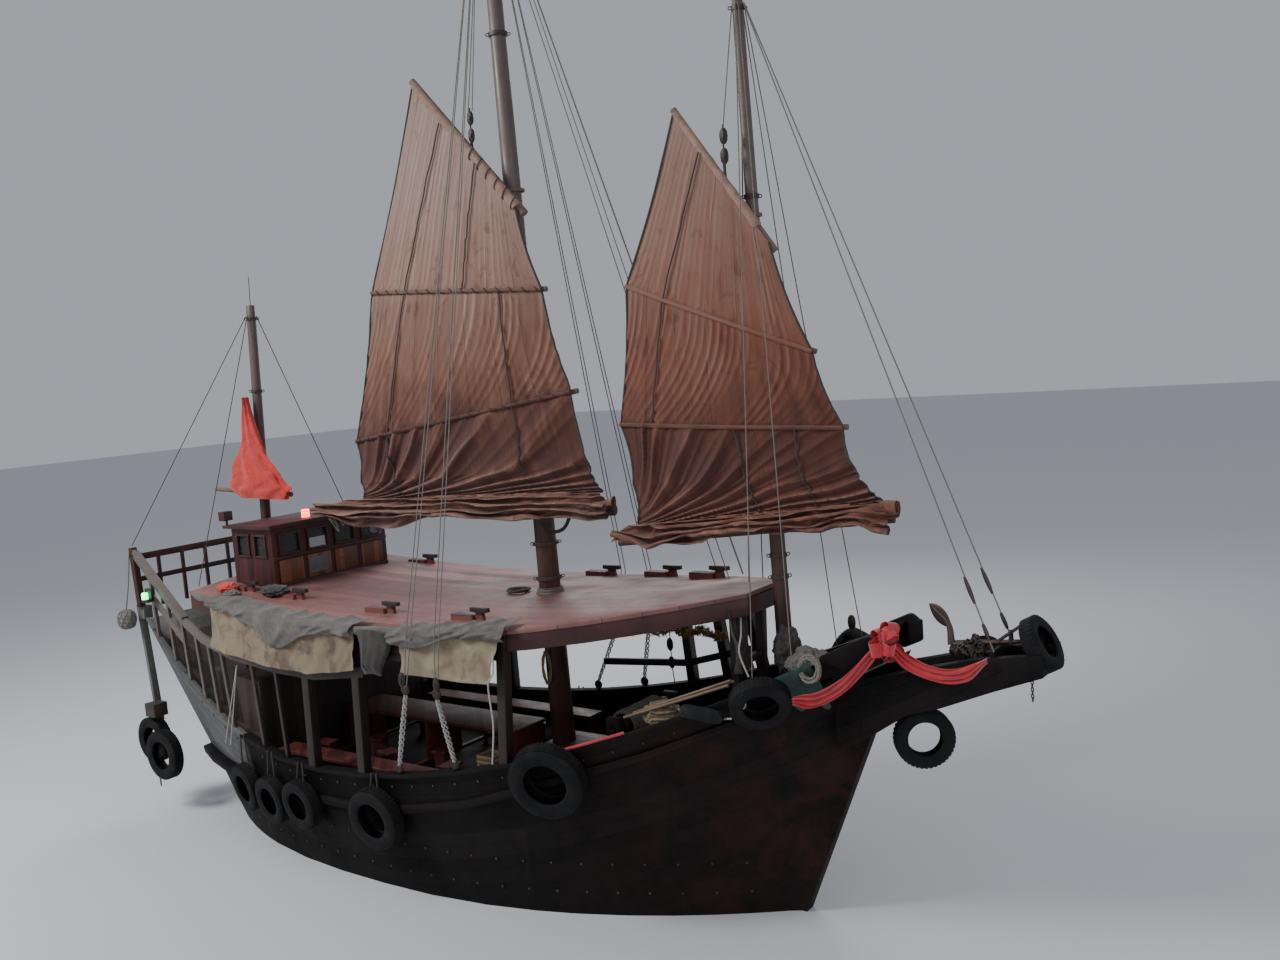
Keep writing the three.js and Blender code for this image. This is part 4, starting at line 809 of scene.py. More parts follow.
@dataclass
class Dress:
    """How a shape becomes a piece of the ship."""

    finish: Finish
    body: str = "hull"
    slot: str = ""
    bevel: float = 0.0
    thick: float = 0.0
    sharp: float = SHARP
    smooth_levels: int = 0
    replaces: Sequence[str] = ()

    def object(self, name: str, shape: Shape) -> Object:
        """Makes a Blender object of a shape.

        Args:
            name: The piece's name.
            shape: Its points and faces.

        Returns:
            The object, with doubles merged and faces outwards.
        """
        mesh = bpy.data.meshes.new(name)
        mesh.from_pydata(shape.points, [], shape.faces)
        layer = mesh.uv_layers.new(name="cloth")
        layer.data.foreach_set("uv", [value for mark in shape.marks for value in mark])
        edit = bmesh.new()
        edit.from_mesh(mesh)
        bmesh.ops.remove_doubles(edit, verts=edit.verts, dist=WELD)
        bmesh.ops.recalc_face_normals(edit, faces=edit.faces)
        edit.to_mesh(mesh)
        edit.free()
        mesh.materials.append(self.finish.material())
        return linked(name, mesh)

    def settle(self, obj: Object) -> Object:
        """Finishes an object's mesh and ties it to its body.

        Args:
            obj: The object.

        Returns:
            The finished piece.
        """
        if self.thick:
            solid = obj.modifiers.new("thickness", "SOLIDIFY")
            solid.thickness, solid.offset = self.thick, 0.0
        if self.bevel:
            edge = obj.modifiers.new("edges", "BEVEL")
            edge.width, edge.segments = self.bevel, 2
            edge.limit_method, edge.angle_limit = "ANGLE", radians(40)
        if self.smooth_levels:
            round_off = obj.modifiers.new("rounding", "SUBSURF")
            round_off.levels = round_off.render_levels = self.smooth_levels
        plain_mesh(obj)
        obj.data.shade_smooth()
        obj.data.set_sharp_from_angle(angle=self.sharp)
        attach(obj, self.body)
        if self.replaces:
            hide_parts(*self.replaces)
        LOG.info("piece %s: %d faces", obj.name, len(obj.data.polygons))
        return obj

    def make(self, name: str, shape: Shape) -> Object:
        """Makes and finishes a piece in one go."""
        return self.settle(self.object(name, shape))


def refined(node: str, finish: Finish, bevel: float = 0.008) -> Object:
    """Makes a copy of a solid with clean faces, softened edges and a finish, to stand for it.

    Args:
        node: The solid's name.
        finish: Its finish.
        bevel: The width of its softened edges.

    Returns:
        The piece.
    """
    source = frame["nodes"][node]
    mesh = bpy.data.meshes.new(f"{node}_fine")
    edit = bmesh.new()
    edit.from_mesh(source.data)
    bmesh.ops.remove_doubles(edit, verts=edit.verts, dist=WELD)
    bmesh.ops.dissolve_limit(edit, angle_limit=radians(0.6), verts=edit.verts, edges=edit.edges)
    edit.to_mesh(mesh)
    edit.free()
    mesh.materials.clear()
    mesh.materials.append(finish.material())
    mesh.polygons.foreach_set("material_index", [0] * len(mesh.polygons))
    dress = Dress(finish, source["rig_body"], SLOT_OF[node], bevel, replaces=[node])
    return dress.settle(linked(f"{node}_fine", mesh))


def piece(finish: Finish, slot: str, name: str, shape: Shape) -> Object:
    """Makes a piece of the hull in one finish."""
    return Dress(finish, "hull", slot).make(name, shape)


def heap_of(finish: Finish, name: str, shape: Shape, sharp: float = SHARP_CLOTH) -> None:
    """Makes a bunched cloth that rides on the hull."""
    Dress(finish, "hull", "canvas", sharp=sharp).make(name, shape)


def declare(cloth: Object, wide: float, digits: int = 3,
            spare: float = 1.02) -> None:
    """Works out the cut of a finished sheet from its own area with a little to spare; the result is not kept.

    Args:
        cloth: The sheet, with a front and a back.
        wide: Its flat width.
        digits: To how many digits its other side is rounded.
        spare: The share by which the cut is larger.
    """
    area = sum(face.area for face in cloth.data.polygons) / 2
    round(area / wide * spare, digits)


def with_painted_light(obj: Object, values: Sequence[float]) -> Object:
    """Writes the painted light and shade of the cloth at each point, which its finish reads as the fold
    attribute.
    """
    obj.data.attributes.new("fold", "FLOAT", "POINT").data.foreach_set("value", values)
    return obj


def tumbled(luck: Random) -> Matrix:
    """A random turn."""
    return Euler([luck.uniform(0, tau) for _ in range(3)]).to_matrix().to_4x4()


class Repeater:
    """Geometry Nodes that set copies of one unit on given places and make them one mesh."""

    INPUTS = {"Places": "Geometry", "Unit": "Object", "Spread": "Float", "Seed": "Int", "Finish": "Material"}

    def __init__(self) -> None:
        """Builds the tree with named inputs for the unit, the spread of sizes, the seed and the finish."""
        self.tree = bpy.data.node_groups.new("repeat_unit", "GeometryNodeTree")
        for name, kind in self.INPUTS.items():
            self.tree.interface.new_socket(name, in_out="INPUT", socket_type=f"NodeSocket{kind}")
        self.tree.interface.new_socket("Result", in_out="OUTPUT", socket_type="NodeSocketGeometry")
        add, link = self.tree.nodes.new, self.tree.links.new
        given, out = add("NodeGroupInput"), add("NodeGroupOutput")
        unit, turn = add("GeometryNodeObjectInfo"), add("GeometryNodeInputNamedAttribute")
        turn.data_type = "FLOAT_VECTOR"
        turn.inputs["Name"].default_value = "turn"
        luck, copies = add("FunctionNodeRandomValue"), add("GeometryNodeInstanceOnPoints")
        real, paint = add("GeometryNodeRealizeInstances"), add("GeometryNodeSetMaterial")
        for socket, operation in ((2, "SUBTRACT"), (3, "ADD")):
            size = add("ShaderNodeMath")
            size.operation = operation
            size.inputs[0].default_value = 1.0
            link(given.outputs["Spread"], size.inputs[1])
            link(size.outputs[0], luck.inputs[socket])
        for source, target in (
                (given.outputs["Seed"], luck.inputs["Seed"]), (given.outputs["Unit"], unit.inputs["Object"]),
                (given.outputs["Places"], copies.inputs["Points"]),
                (unit.outputs["Geometry"], copies.inputs["Instance"]),
                (turn.outputs["Attribute"], copies.inputs["Rotation"]),
                (luck.outputs[1], copies.inputs["Scale"]), (copies.outputs[0], real.inputs[0]),
                (real.outputs[0], paint.inputs["Geometry"]),
                (given.outputs["Finish"], paint.inputs["Material"]), (paint.outputs[0], out.inputs[0])):
            link(source, target)

    def make(self, name: str, unit: Shape, places: Sequence[Matrix], dress: Dress, spread: float = 0.0,
             seed: int = 1) -> Object:
        """Sets a unit on every place.

        Args:
            name: The piece's name.
            unit: The shape that is repeated.
            places: Where each copy goes.
            dress: The finish and body of the result.
            spread: How much the sizes differ, as a share.
            seed: The start of the random sizes.

        Returns:
            The piece.
        """
        model = dress.object(f"{name}_unit", unit)
        points = bpy.data.meshes.new(name)
        points.from_pydata([place.translation for place in places], [], [])
        turns = points.attributes.new("turn", "FLOAT_VECTOR", "POINT")
        turns.data.foreach_set("vector", [a for place in places for a in place.to_euler("XYZ")])
        obj = linked(name, points)
        modifier = obj.modifiers.new("copies", "NODES")
        modifier.node_group = self.tree
        keys = {item.name: item.identifier for item in self.tree.interface.items_tree}
        given = {"Unit": model, "Spread": spread, "Seed": seed, "Finish": dress.finish.material()}
        for key, value in given.items():
            modifier[keys[key]] = value
        plain_mesh(obj)
        bpy.data.objects.remove(model)
        return Dress(dress.finish, dress.body, dress.slot, replaces=dress.replaces).settle(obj)


REPEAT = Repeater()


# The ship's own lines, as its solids have them

def lerp(a: float, b: float, t: float) -> float:
    """A value between a and b."""
    return a + (b - a) * t


def smooth(t: float) -> float:
    """A soft step from 0 to 1."""
    t = min(1.0, max(0.0, t))
    return t * t * (3 - 2 * t)


def along(table: Sequence[tuple[float, float]], at: float) -> float:
    """Reads a table of (place, value) between its rows.

    Args:
        table: Its rows, in order.
        at: The place to read.

    Returns:
        The value, held at the table's ends.
    """
    for (a, va), (b, vb) in zip(table, table[1:]):
        if at <= b:
            return lerp(va, vb, min(1.0, max(0.0, (at - a) / (b - a))))
    return table[-1][1]


@dataclass(frozen=True)
class HullLines:
    """The hull's sides, the roof and the quarter rail."""

    stem: float = 6.31
    stern: float = 5.45

    def rake(self, station: float) -> float:
        """How far a station leans for each metre of height."""
        if station > 0:
            return 0.424 * (station / self.stem) ** 2
        return -0.37 * (station / self.stern) ** 2

    def station(self, x: float, z: float) -> float:
        """The station that passes through a place.

        Args:
            x: How far forward the place is.
            z: How high it is.

        Returns:
            The station's x at the water.
        """
        found = x
        for _ in range(30):
            found = x - self.rake(found) * z
        return found

    def sheer(self, x: float) -> float:
        """Height of the rail."""
        if x > SHEER_X:
            return SHEER_Z + 2.31 * ((x - SHEER_X) / 9.24) ** 1.9
        return SHEER_Z + 2.0 * ((SHEER_X - x) / 5.5) ** 2

    def half(self, x: float, z: float) -> float:
        """Half breadth of the hull above the water.

        Args:
            x: How far forward the place is.
            z: How high it is.

        Returns:
            Metres from the middle plane.
        """
        station = self.station(x, z)
        fore = station > 0
        t = station / self.stem if fore else -station / self.stern
        water = 2.19 * (1 - t ** 2.2) if fore else 2.19 * (1 - 0.6 * t ** 2.6)
        top = 2.47 - (2.47 - (0.55 if fore else 1.6)) * t ** (2.6 if fore else 2)
        rail = self.sheer(station)
        for _ in range(12):
            rail = self.sheer(station + self.rake(station) * rail)
        return max(0.09, lerp(water, top, (z / rail) ** (1 + 5 * t ** 4 if fore else 1)))

    def side(self, x: float, z: float, side: int, out: float = 0.0) -> Vector:
        """A place on the planking, or out from it."""
        return Vector((x, side * (self.half(x, z) + out), z))

    def roof_half(self, x: float) -> float:
        """Half breadth of the roof."""
        if x > 1:
            return ROOF_HALF * (1 - 0.78 * ((x - 1) / 4.94) ** 1.9)
        return ROOF_HALF - (0.33 * ((-1 - x) / 3.5) ** 1.5 if x < -1 else 0)

    def roof(self, x: float, y: float) -> float:
        """Height of the roof."""
        return ROOF_Z + ROOF_RISE * (x - ROOF_X) ** 2 - ROOF_CAMBER * (y / ROOF_HALF) ** 2

    def rail(self, x: float) -> tuple[float, float]:
        """Height and half breadth of the quarter rail."""
        table = [(-6.975, 4.88, 1.61), (-5.9, 4.24, 1.8), (-5, 3.76, 1.96), (-4.3, 3.56, 2.11),
                 (-3.2, 3.43, 2.33), (-1.9, 3.35, 2.44), (-0.9, 3.33, 2.455), (0.26, 3.48, 2.45)]
        return along([(a, b) for a, b, _ in table], x), along([(a, c) for a, _, c in table], x)


LINES = HullLines()


# Cameras, lights and the floor

@dataclass
class Studio:
    """The floor at the waterline, soft light and a camera where the photograph was taken."""

    place: Place = (14.4047, -14.3486, 7.8615)
    right: Place = (0.80929, 0.58269, -0.07425)
    down: Place = (-0.00177, -0.12399, -0.99228)
    ahead: Place = (-0.58740, 0.80318, -0.09931)
    lens: float = 34.11
    film: float = 36.0
    reach: float = 140.0
    pale: Colour = (0.62, 0.63, 0.65)
    sky: Colour = (0.78, 0.82, 0.9)

    def build(self) -> None:
        """Makes the camera, the lights and the floor."""
        data = bpy.data.cameras.new("camera")
        data.lens, data.sensor_width, data.clip_end = self.lens, self.film, 400.0
        camera = linked("camera", data)
        axes = Matrix((Vector(self.right), -Vector(self.down), -Vector(self.ahead)))
        camera.matrix_world = Matrix.Translation(self.place) @ axes.transposed().to_4x4()
        bpy.context.scene.camera = camera
        self.floor()
        self.light("key", (-9, -15, 19), 8.0, 4300.0)
        self.light("fill", (20, -8, 10), 12.0, 700.0)
        self.light("back", (-8, 16, 15), 12.0, 1600.0)
        world = bpy.data.worlds.new("sky")
        world.use_nodes = True
        background = world.node_tree.nodes["Background"]
        background.inputs[0].default_value = (*self.sky, 1.0)
        background.inputs[1].default_value = 0.5
        bpy.context.scene.world = world

    def floor(self) -> None:
        """Lays the plain floor at the waterline."""
        corners = [(self.reach * s, self.reach * t, 0) for s, t in ((-1, -1), (1, -1), (1, 1), (-1, 1))]
        mesh = bpy.data.meshes.new("floor")
        mesh.from_pydata(corners, [], [(0, 1, 2, 3)])
        mesh.materials.append(Kit("floor_plaster").finish(self.pale, 0.9))
        linked("floor", mesh)

    def light(self, name: str, place: Place, size: float, power: float) -> None:
        """Adds a soft light that looks at the ship.

        Args:
            name: The light's name.
            place: Where it stands.
            size: The side of its square.
            power: Its strength in watts.
        """
        data = bpy.data.lights.new(name, "AREA")
        data.energy, data.size = power, size
        lamp = linked(name, data)
        lamp.location = place
        lamp.rotation_euler = (Vector((1, 0, 4)) - Vector(place)).to_track_quat("-Z", "Y").to_euler()


class Timbers:
    """The wooden and metal solids, each refined and given its finish."""

    FINISHES = (
        (Look.TAR, "hull bulwark_starboard bulwark_port beak"),
        (Look.GREY, "quarter_planking_starboard quarter_planking_port"),
        (Look.DECK, "poop_block"), (Look.GREY_POST, "transom"), (Look.DARK_POST, "rudder"),
        (Look.BRONZE, "propeller"), (Look.ROOF, "roof"), (Look.RED_RAIL, "roof_fascia"),
        (Look.DARK, "quarter_rail_starboard quarter_rail_port"), (Look.DARK_POST, "fore_posts"),
        (Look.RED_RAIL, "stern_rail"), (Look.CABIN, "wheelhouse_walls"), (Look.RED_RAIL, "wheelhouse_roof"),
        (Look.CABIN, "wheelhouse_door"), (Look.DARK_POST, "helm"),
                (Look.MAST, "main_mast fore_mast mizzen_mast"),
        (Look.DARK_POST, "windlass_frame windlass_drum"), (Look.RED, "deck_benches mast_case"),
        (Look.TAR, "wale_starboard wale_port"), (Look.GREY_POST, "stern_board"),
    )
    FINE = {"propeller": 0.003, "wheelhouse_door": 0.002, "helm": 0.004}

    def build(self) -> None:
        """Dresses every node of the table, and the spars of each sail."""
        for finish, nodes in self.FINISHES:
            for node in nodes.split():
                refined(node, finish, self.FINE.get(node, 0.008))
        for node in ("yard", "upper_batten", "lower_batten", "boom"):
            for sail in ("main", "fore"):
                refined(f"{node}_{sail}", Look.BOOM if node == "boom" else Look.SPAR, 0.004)
        refined("boom_mizzen", Look.SPAR, 0.004)


def wave(x: float, y: float, z: float) -> float:
    """Smooth noise at a place, between about -1 and 1."""
    return noise.noise(Vector((x, y, z)))


def ridge(x: float, y: float, seed: float) -> float:
    """A crease pattern: 1 on narrow crests and 0 between them."""
    return max(0.0, 1 - 2.4 * abs(wave(x, y, seed))) ** 1.5


def crest(v: float, w: float, seed: float) -> float:
    """Uneven parallel folds: 1 on a sharp crest at about each whole v, and 0 between."""
    strength = min(1.0, max(0.12, 0.6 + 1.1 * wave(v * 0.37, w, seed)))
    v += 0.45 * wave(v * 0.41, w * 0.7, seed + 5)
    return strength * (1 - abs(sin(pi * v))) ** 1.5


def smooth_path(stops: Sequence[Sequence[float]], steps: int) -> list[Vector]:
    """A smooth line through its stops.

    Args:
        stops: The places it passes.
        steps: Points for each stretch.

    Returns:
        The points.
    """
    stops = [Vector(stop) for stop in stops]
    ends = [stops[0] * 2 - stops[1], *stops, stops[-1] * 2 - stops[-2]]
    path = []
    for a, b, c, d in zip(ends, ends[1:], ends[2:], ends[3:]):
        for k in range(steps):
            t = k / steps
            path.append(0.5 * (b * 2 + (c - a) * t + (a * 2 - b * 5 + c * 4 - d) * t * t
                               + (b * 3 - a - c * 3 + d) * t ** 3))
    return [*path, stops[-1]]


# Masts and sails

@dataclass(frozen=True)
class Mast:
    """A mast that leans aft, and the way from its own places to the ship's."""

    x: float
    lean: float
    radii: tuple[tuple[float, float], ...]
    angle: float = 10.0

    def at(self, z: float, dx: float = 0.0, dy: float = 0.0) -> Vector:
        """A place beside the mast's axis."""
        lean = radians(self.lean)
        return Vector((self.x - sin(lean) * z + dx, dy, cos(lean) * z))

    def radius(self, z: float) -> float:
        """The mast's radius at a height."""
        return along(self.radii, z)

    def inner(self, z: float) -> float:
        """The inner radius of a ring round the mast."""
        return (self.radius(z) + 0.0004) / cos(pi / 16)

    def swung(self, aft: float, out: float, z: float) -> Vector:
        """A place of a sail set: aft of the mast, out to starboard, and up.

        Args:
            aft: Metres aft of the mast's axis, along the sail.
            out: Metres out from it.
            z: Metres up along the mast.

        Returns:
            The place on the ship.
        """
        lean, turn = radians(self.lean), radians(self.angle)
        x = -aft * cos(turn) + out * sin(turn)
        y = -aft * sin(turn) - out * cos(turn)
        return Vector((self.x + x * cos(lean) - z * sin(lean), y, x * sin(lean) + z * cos(lean)))


MAIN = Mast(2.064, 0.85, ((1.3, 0.19), (5.3, 0.19), (13.4, 0.133), (15.8, 0.105)))
FORE = Mast(6.223, 0.7, ((2.6, 0.118), (4.2, 0.114), (9.9, 0.089), (13.0, 0.072)))
MIZZEN = Mast(-5.249, -2.9, ((2.7, 0.105), (5.4, 0.099), (9.13, 0.084), (9.4, 0.08)))


@dataclass(frozen=True)
class Spar:
    """A pole of a sail set: its ends as (aft, height) and its radius."""

    fore: tuple[float, float]
    aft: tuple[float, float]
    radius: float

    def out(self, mast: Mast) -> float:
        """How far its axis stands out from the mast's."""
        return mast.inner((self.fore[1] + self.aft[1]) / 2) + 0.032 + self.radius


@dataclass
class LugSail:
    """A lug sail, its lower part dropped in folds on its boom."""

    name: str
    mast: Mast
    spars: tuple[Spar, ...]
    rows: tuple[tuple[float, float, float, float], ...]
    belly: float
    finish: Finish
    flat: tuple[float, float]
    area: float
    seed: float
    gather: float
    flakes: float
    lines: tuple[tuple[float, float, float, float], ...]
    laced: bool
    roll: tuple[float, float]
    columns: int = 150
    panel: int = 40
    folded: int = 80

    def edge(self, level: float) -> tuple[float, float, float, float]:
        """The fore and aft edge at a level, between the rows of the table."""
        i = min(int(level), len(self.rows) - 2)
        return tuple(lerp(a, b, level - i) for a, b in zip(self.rows[i], self.rows[i + 1]))

    def out(self, level: float) -> float:
        """How far the cloth stands out from the mast at a level."""
        offsets = [(i, spar.out(self.mast) + spar.radius + 0.022) for i, spar in enumerate(self.spars)]
        return along(offsets, level)

    def folds(self, t: float, level: float) -> tuple[float, float]:
        """The wrinkles, pleats and swags at a place of the cloth.

        Args:
            t: Share of the way from the fore edge to the aft edge.
            level: Place down the sail, in rows.

        Returns:
            Metres out from the smooth cloth, and its painted light and shade: 0 in a valley and 1 on a crest.
        """
        s = level % 1.0
        low = smooth((level - 1.9) * 6)
        middle = smooth((level - 0.95) * 6) * (1 - low)
        high = 1 - middle - low
        soft = wave(t * 4, level * 0.9, self.seed)
        pleat = t - 0.24 * s * s * (middle + low) + 0.025 * soft
        fine = crest(pleat * 27, level * 0.5, self.seed + 4)
        pleats = crest(pleat * 25, level * 0.7, self.seed + 7)
        rise = (len(self.rows) - 1 - level) / (len(self.rows) - 3)
        sweep = log((max(0.0, rise) + 0.07) / ((1.03 - t) ** 1.45 + 0.03))
        swag = crest(sweep * 2.1 + 0.3 * soft, t * 1.1, self.seed + 9)
        swag += 0.3 * crest(sweep * 5.3, t * 1.6, self.seed + 12)
        swag *= smooth((1.0 - t) * 6) * 0.8 + 0.2
        puff = sin(pi * s) * sin(pi * t) * 0.03 * (1 - low)
        out = puff + soft * 0.02 + high * fine * 0.013 + middle * pleats * 0.03 + low * swag * 0.12
        # Painted light and shade: lighter on the crests of wrinkles, pleats and swags, darker between them
        calm = 0.5 + 0.5 * wave(t * 2.2, level * 1.3, self.seed + 20)
        light = high * (0.74 + 0.3 * fine) + middle * (0.5 + 0.6 * pleats)
        return out, light + low * (0.03 + 0.22 * calm + 1.1 * swag ** 1.4)

    def cloth_place(self, v: float, t: float) -> Vector:
        """A place of the cloth between yard and boom.

        Args:
            v: Share of the way down.
            t: Share of the way aft.

        Returns:
            The place.
        """
        last = len(self.rows) - 1
        level = last * v
        fore_a, fore_z, aft_a, aft_z = self.edge(level)
        rim = sin(pi * (level % 1.0)) * 0.05 if level < last else 0.0
        aft = lerp(fore_a, aft_a, t) + rim * (smooth((1 - t) * 6) - smooth(t * 6))
        belly = self.belly * sin(pi * level / last) * sin(pi * t)
        out = self.out(level) + belly + min(1.0, level * 4) * self.folds(t, level)[0]
        return self.mast.swung(aft, max(out, self.out(level) - 0.03), lerp(fore_z, aft_z, t))

    def phase(self, t: float, u: float) -> float:
        """How far the folds on the boom have turned at a share of their length and of their depth."""
        shift, wander = wave(t * 2.2, u * 0.6, self.seed + 8), wave(t * 7.0, u * 1.5, self.seed + 14)
        return tau * self.flakes * u + 6.5 * shift + 2.6 * wander + 1.6 * t

    def crumple(self, t: float, u: float) -> float:
        """The short slanting creases of the cloth on the boom, up to about 1."""
        long = ridge(t * 5 + u * 3, u * 8 - t * 3, self.seed + 1)
        return 0.65 * long + 0.45 * ridge(t * 15 - u * 4, u * 6, self.seed)

    def fold_light(self, t: float, u: float) -> float:
        """The painted light and shade of a place of the folds on the boom: darker in valleys and underneath,
        lighter on creases.
        """
        under = 0.25 * smooth(u * 4 - 3)
        return 0.1 - 0.17 * cos(self.phase(t, u)) * smooth(u * 6) + 0.8 * self.crumple(t, u) - under

    def fold_place(self, u: float, t: float) -> Vector:
        """A place of the cloth that lies in loose folds outside the boom.

        Args:
            u: Share of the folds' depth.
            t: Share of the way aft.

        Returns:
            The place.
        """
        boom, spread = self.spars[-1], smooth(u * 3)
        fore_a, fore_z, aft_a, aft_z = self.rows[-1]
        aft = lerp(lerp(fore_a, boom.fore[0] + 0.03, spread), lerp(aft_a, boom.aft[0] - 0.02, spread), t)
        ends = 1 + 0.3 * (1 - smooth(t * 8)) - 0.4 * smooth((t - 0.92) * 12)
        ends += 0.5 * exp(-((t - 0.86) / 0.05) ** 2) + 0.25 * sin(t * 9 + self.seed) ** 2
        phase, grown = self.phase(t, u), smooth(u * 6)
        wide = 0.055 * ends * (1 + 0.6 * wave(t * 7, u * 2.4, self.seed + 6))
        out = self.out(len(self.rows) - 1) + 0.1 - wide * cos(phase) * grown
        out += 0.06 * self.crumple(t, u) + sin(pi * min(1.0, u * 1.02)) * 0.04
        drop = self.gather * ends * u * (1 + 0.45 * wave(t * 5 + 2 * u, u * 3, self.seed + 2))
        drop += 0.035 * sin(phase) * grown + 0.05 * u * ridge(t * 4.5, u, self.seed + 3)
        return self.mast.swung(aft, out, lerp(fore_z, aft_z, t) - drop)

    def build(self) -> None:
        """Makes the cloth, its edge ropes, batten lashings and ties."""
        body = f"{self.name}_sail_set"
        last = len(self.rows) - 1
        upper = grid(last * self.panel, self.columns, self.cloth_place)
        lower = grid(self.folded, self.columns, self.fold_place)[1:]
        dress = Dress(self.finish, body, "sailcloth", thick=0.006, sharp=SHARP_CLOTH,
                      replaces=[f"sail_{self.name}"])
        cloth = dress.object(f"{self.name}_sail_cloth", skin(upper + lower, False))
        # Painted light and shade for every point of the cloth, which the finish reads
        light = grid(last * self.panel, self.columns, lambda v, t: self.folds(t, last * v)[1])
        light += grid(self.folded, self.columns, lambda u, t: self.fold_light(t, u))[1:]
        dress.settle(with_painted_light(cloth, [value for row in light for value in row]))
        self.trim(upper, body)

    def trim(self, rows: list[Ring], body: str) -> None:
        """Adds ropes along the edges and battens, and ties round the spars.

        Args:
            rows: The rows of the cloth above its folds.
            body: The body they ride on.
        """
        edges = Shape()
        for column in (0, -1):
            edges.add(tube([row[column] for row in rows[::3]], 0.017, 6))
        rope = Dress(Look.DARK_ROPE, body, "rope")
        rope.make(f"{self.name}_sail_edges", edges)
        out = self.mast.swung(0, 1, 0) - self.mast.swung(0, 0, 0)
        battens = [[p + out * 0.022 for p in rows[i * self.panel]] for i in (1, 2)]
        strips = Shape()
        for path in battens:
            strips.add(tube(path[::3], 0.03, 10))
        self.lit(f"{self.name}_sail_battens", strips, body, 0.35 if self.laced else 0.9)
        yard = self.spars[0]
        head = [rows[0][round(self.columns * k / 40)] - out * yard.radius * 0.45 for k in range(41)]
        wrap = tube(head[0 if self.laced else 5:],
                    lambda t: yard.radius * lerp(1.02, 0.8, t) * (1 + 0.06 * sin(t * 47)), 16)
        Dress(Look.HEAD, body, "canvas").make(f"{self.name}_yard_wrap", wrap)
        foot = [rows[-1][round(self.columns * (0.12 + 0.6 * k / 30))] + out * 0.03 for k in range(31)]
        self.lit(f"{self.name}_foot_roll", tube(foot, 0.028, 10), body, 0.9)
        falls = Shape()
        for top, bottom, near, far in self.lines:
            places = [(rows[round(self.panel * lerp(top, bottom, k / 24))], lerp(near, far, k / 24))
                      for k in range(25)]
            falls.add(tube([row[round(self.columns * t)] + out * 0.03 for row, t in places], 0.011, 6))
        rope.make(f"{self.name}_sail_lines", falls)
        self.roll_end(body, out)
        if self.laced:
            lacing = self.lace(head[:20], 0.085)
            for path in battens:
                lacing.add(self.lace(path[::6], 0.036))
            rope.make(f"{self.name}_sail_lacing", lacing)

    def lit(self, name: str, shape: Shape, body: str, light: float) -> None:
        """Makes a piece of the sail's own cloth with one even value of painted light and shade."""
        dress = Dress(self.finish, body, "sailcloth")
        made = dress.object(name, shape)
        dress.settle(with_painted_light(made, [light] * len(made.data.vertices)))

    def roll_end(self, body: str, out: Vector) -> None:
        """Makes the cloth that is rolled up at the boom's fore end.

        Args:
            body: The body it rides on.
            out: The way out from the mast.
        """
        boom, side = self.spars[-1], out.normalized()
        reach, wide = self.roll

        def place(u: float, v: float) -> Vector:
            """A place of the roll.

            Args:
                u: Share of the roll's length.
                v: Share of its winding.

            Returns:
                The place.
            """
            centre = self.mast.swung(boom.fore[0] - 0.1 + reach * u, self.out(len(self.rows) - 1) + 0.12,
                                     boom.fore[1] + 0.16 - 0.08 * u)
            turn = tau * 1.7 * v + 0.8 * u
            r = wide * lerp(0.4, 1.0, v) * (1 - 0.45 * u) * (1 + 0.4 * wave(v * 7.2, u * 5, self.seed))
            return centre + side * (r * cos(turn)) + UP * (r * 0.85 * sin(turn))

        dress = Dress(self.finish, body, "sailcloth", thick=0.006, sharp=SHARP_CLOTH)
        roll = dress.object(f"{self.name}_rolled_end", skin(grid(24, 60, place), False))
        # Painted light and shade on the roll: lighter on its ridges, darker between them
        with_painted_light(roll, [0.2 + 0.7 * ridge(v.co.x * 4, v.co.z * 9, self.seed) for v in roll.data.vertices])
        declare(dress.settle(roll), reach)

    def lace(self, path: Sequence[Vector], radius: float) -> Shape:
        """Winds a lacing round a spar.

        Args:
            path: The spar's axis.
            radius: How far out the lacing runs.

        Returns:
            The lacing.
        """
        length = (path[-1] - path[0]).length
        way = (path[-1] - path[0]).normalized()
        side = way.cross(Vector((0, 1, 0))).normalized()
        out = way.cross(side)
        count = int(length / 0.02)
        turns = []
        for k in range(count + 1):
            place = k / count * (len(path) - 1)
            i = min(int(place), len(path) - 2)
            a = tau * k / count * length / 0.21
            turns.append(path[i].lerp(path[i + 1], place - i) + (side * cos(a) + out * sin(a)) * radius)
        return tube(turns, 0.009, 6)


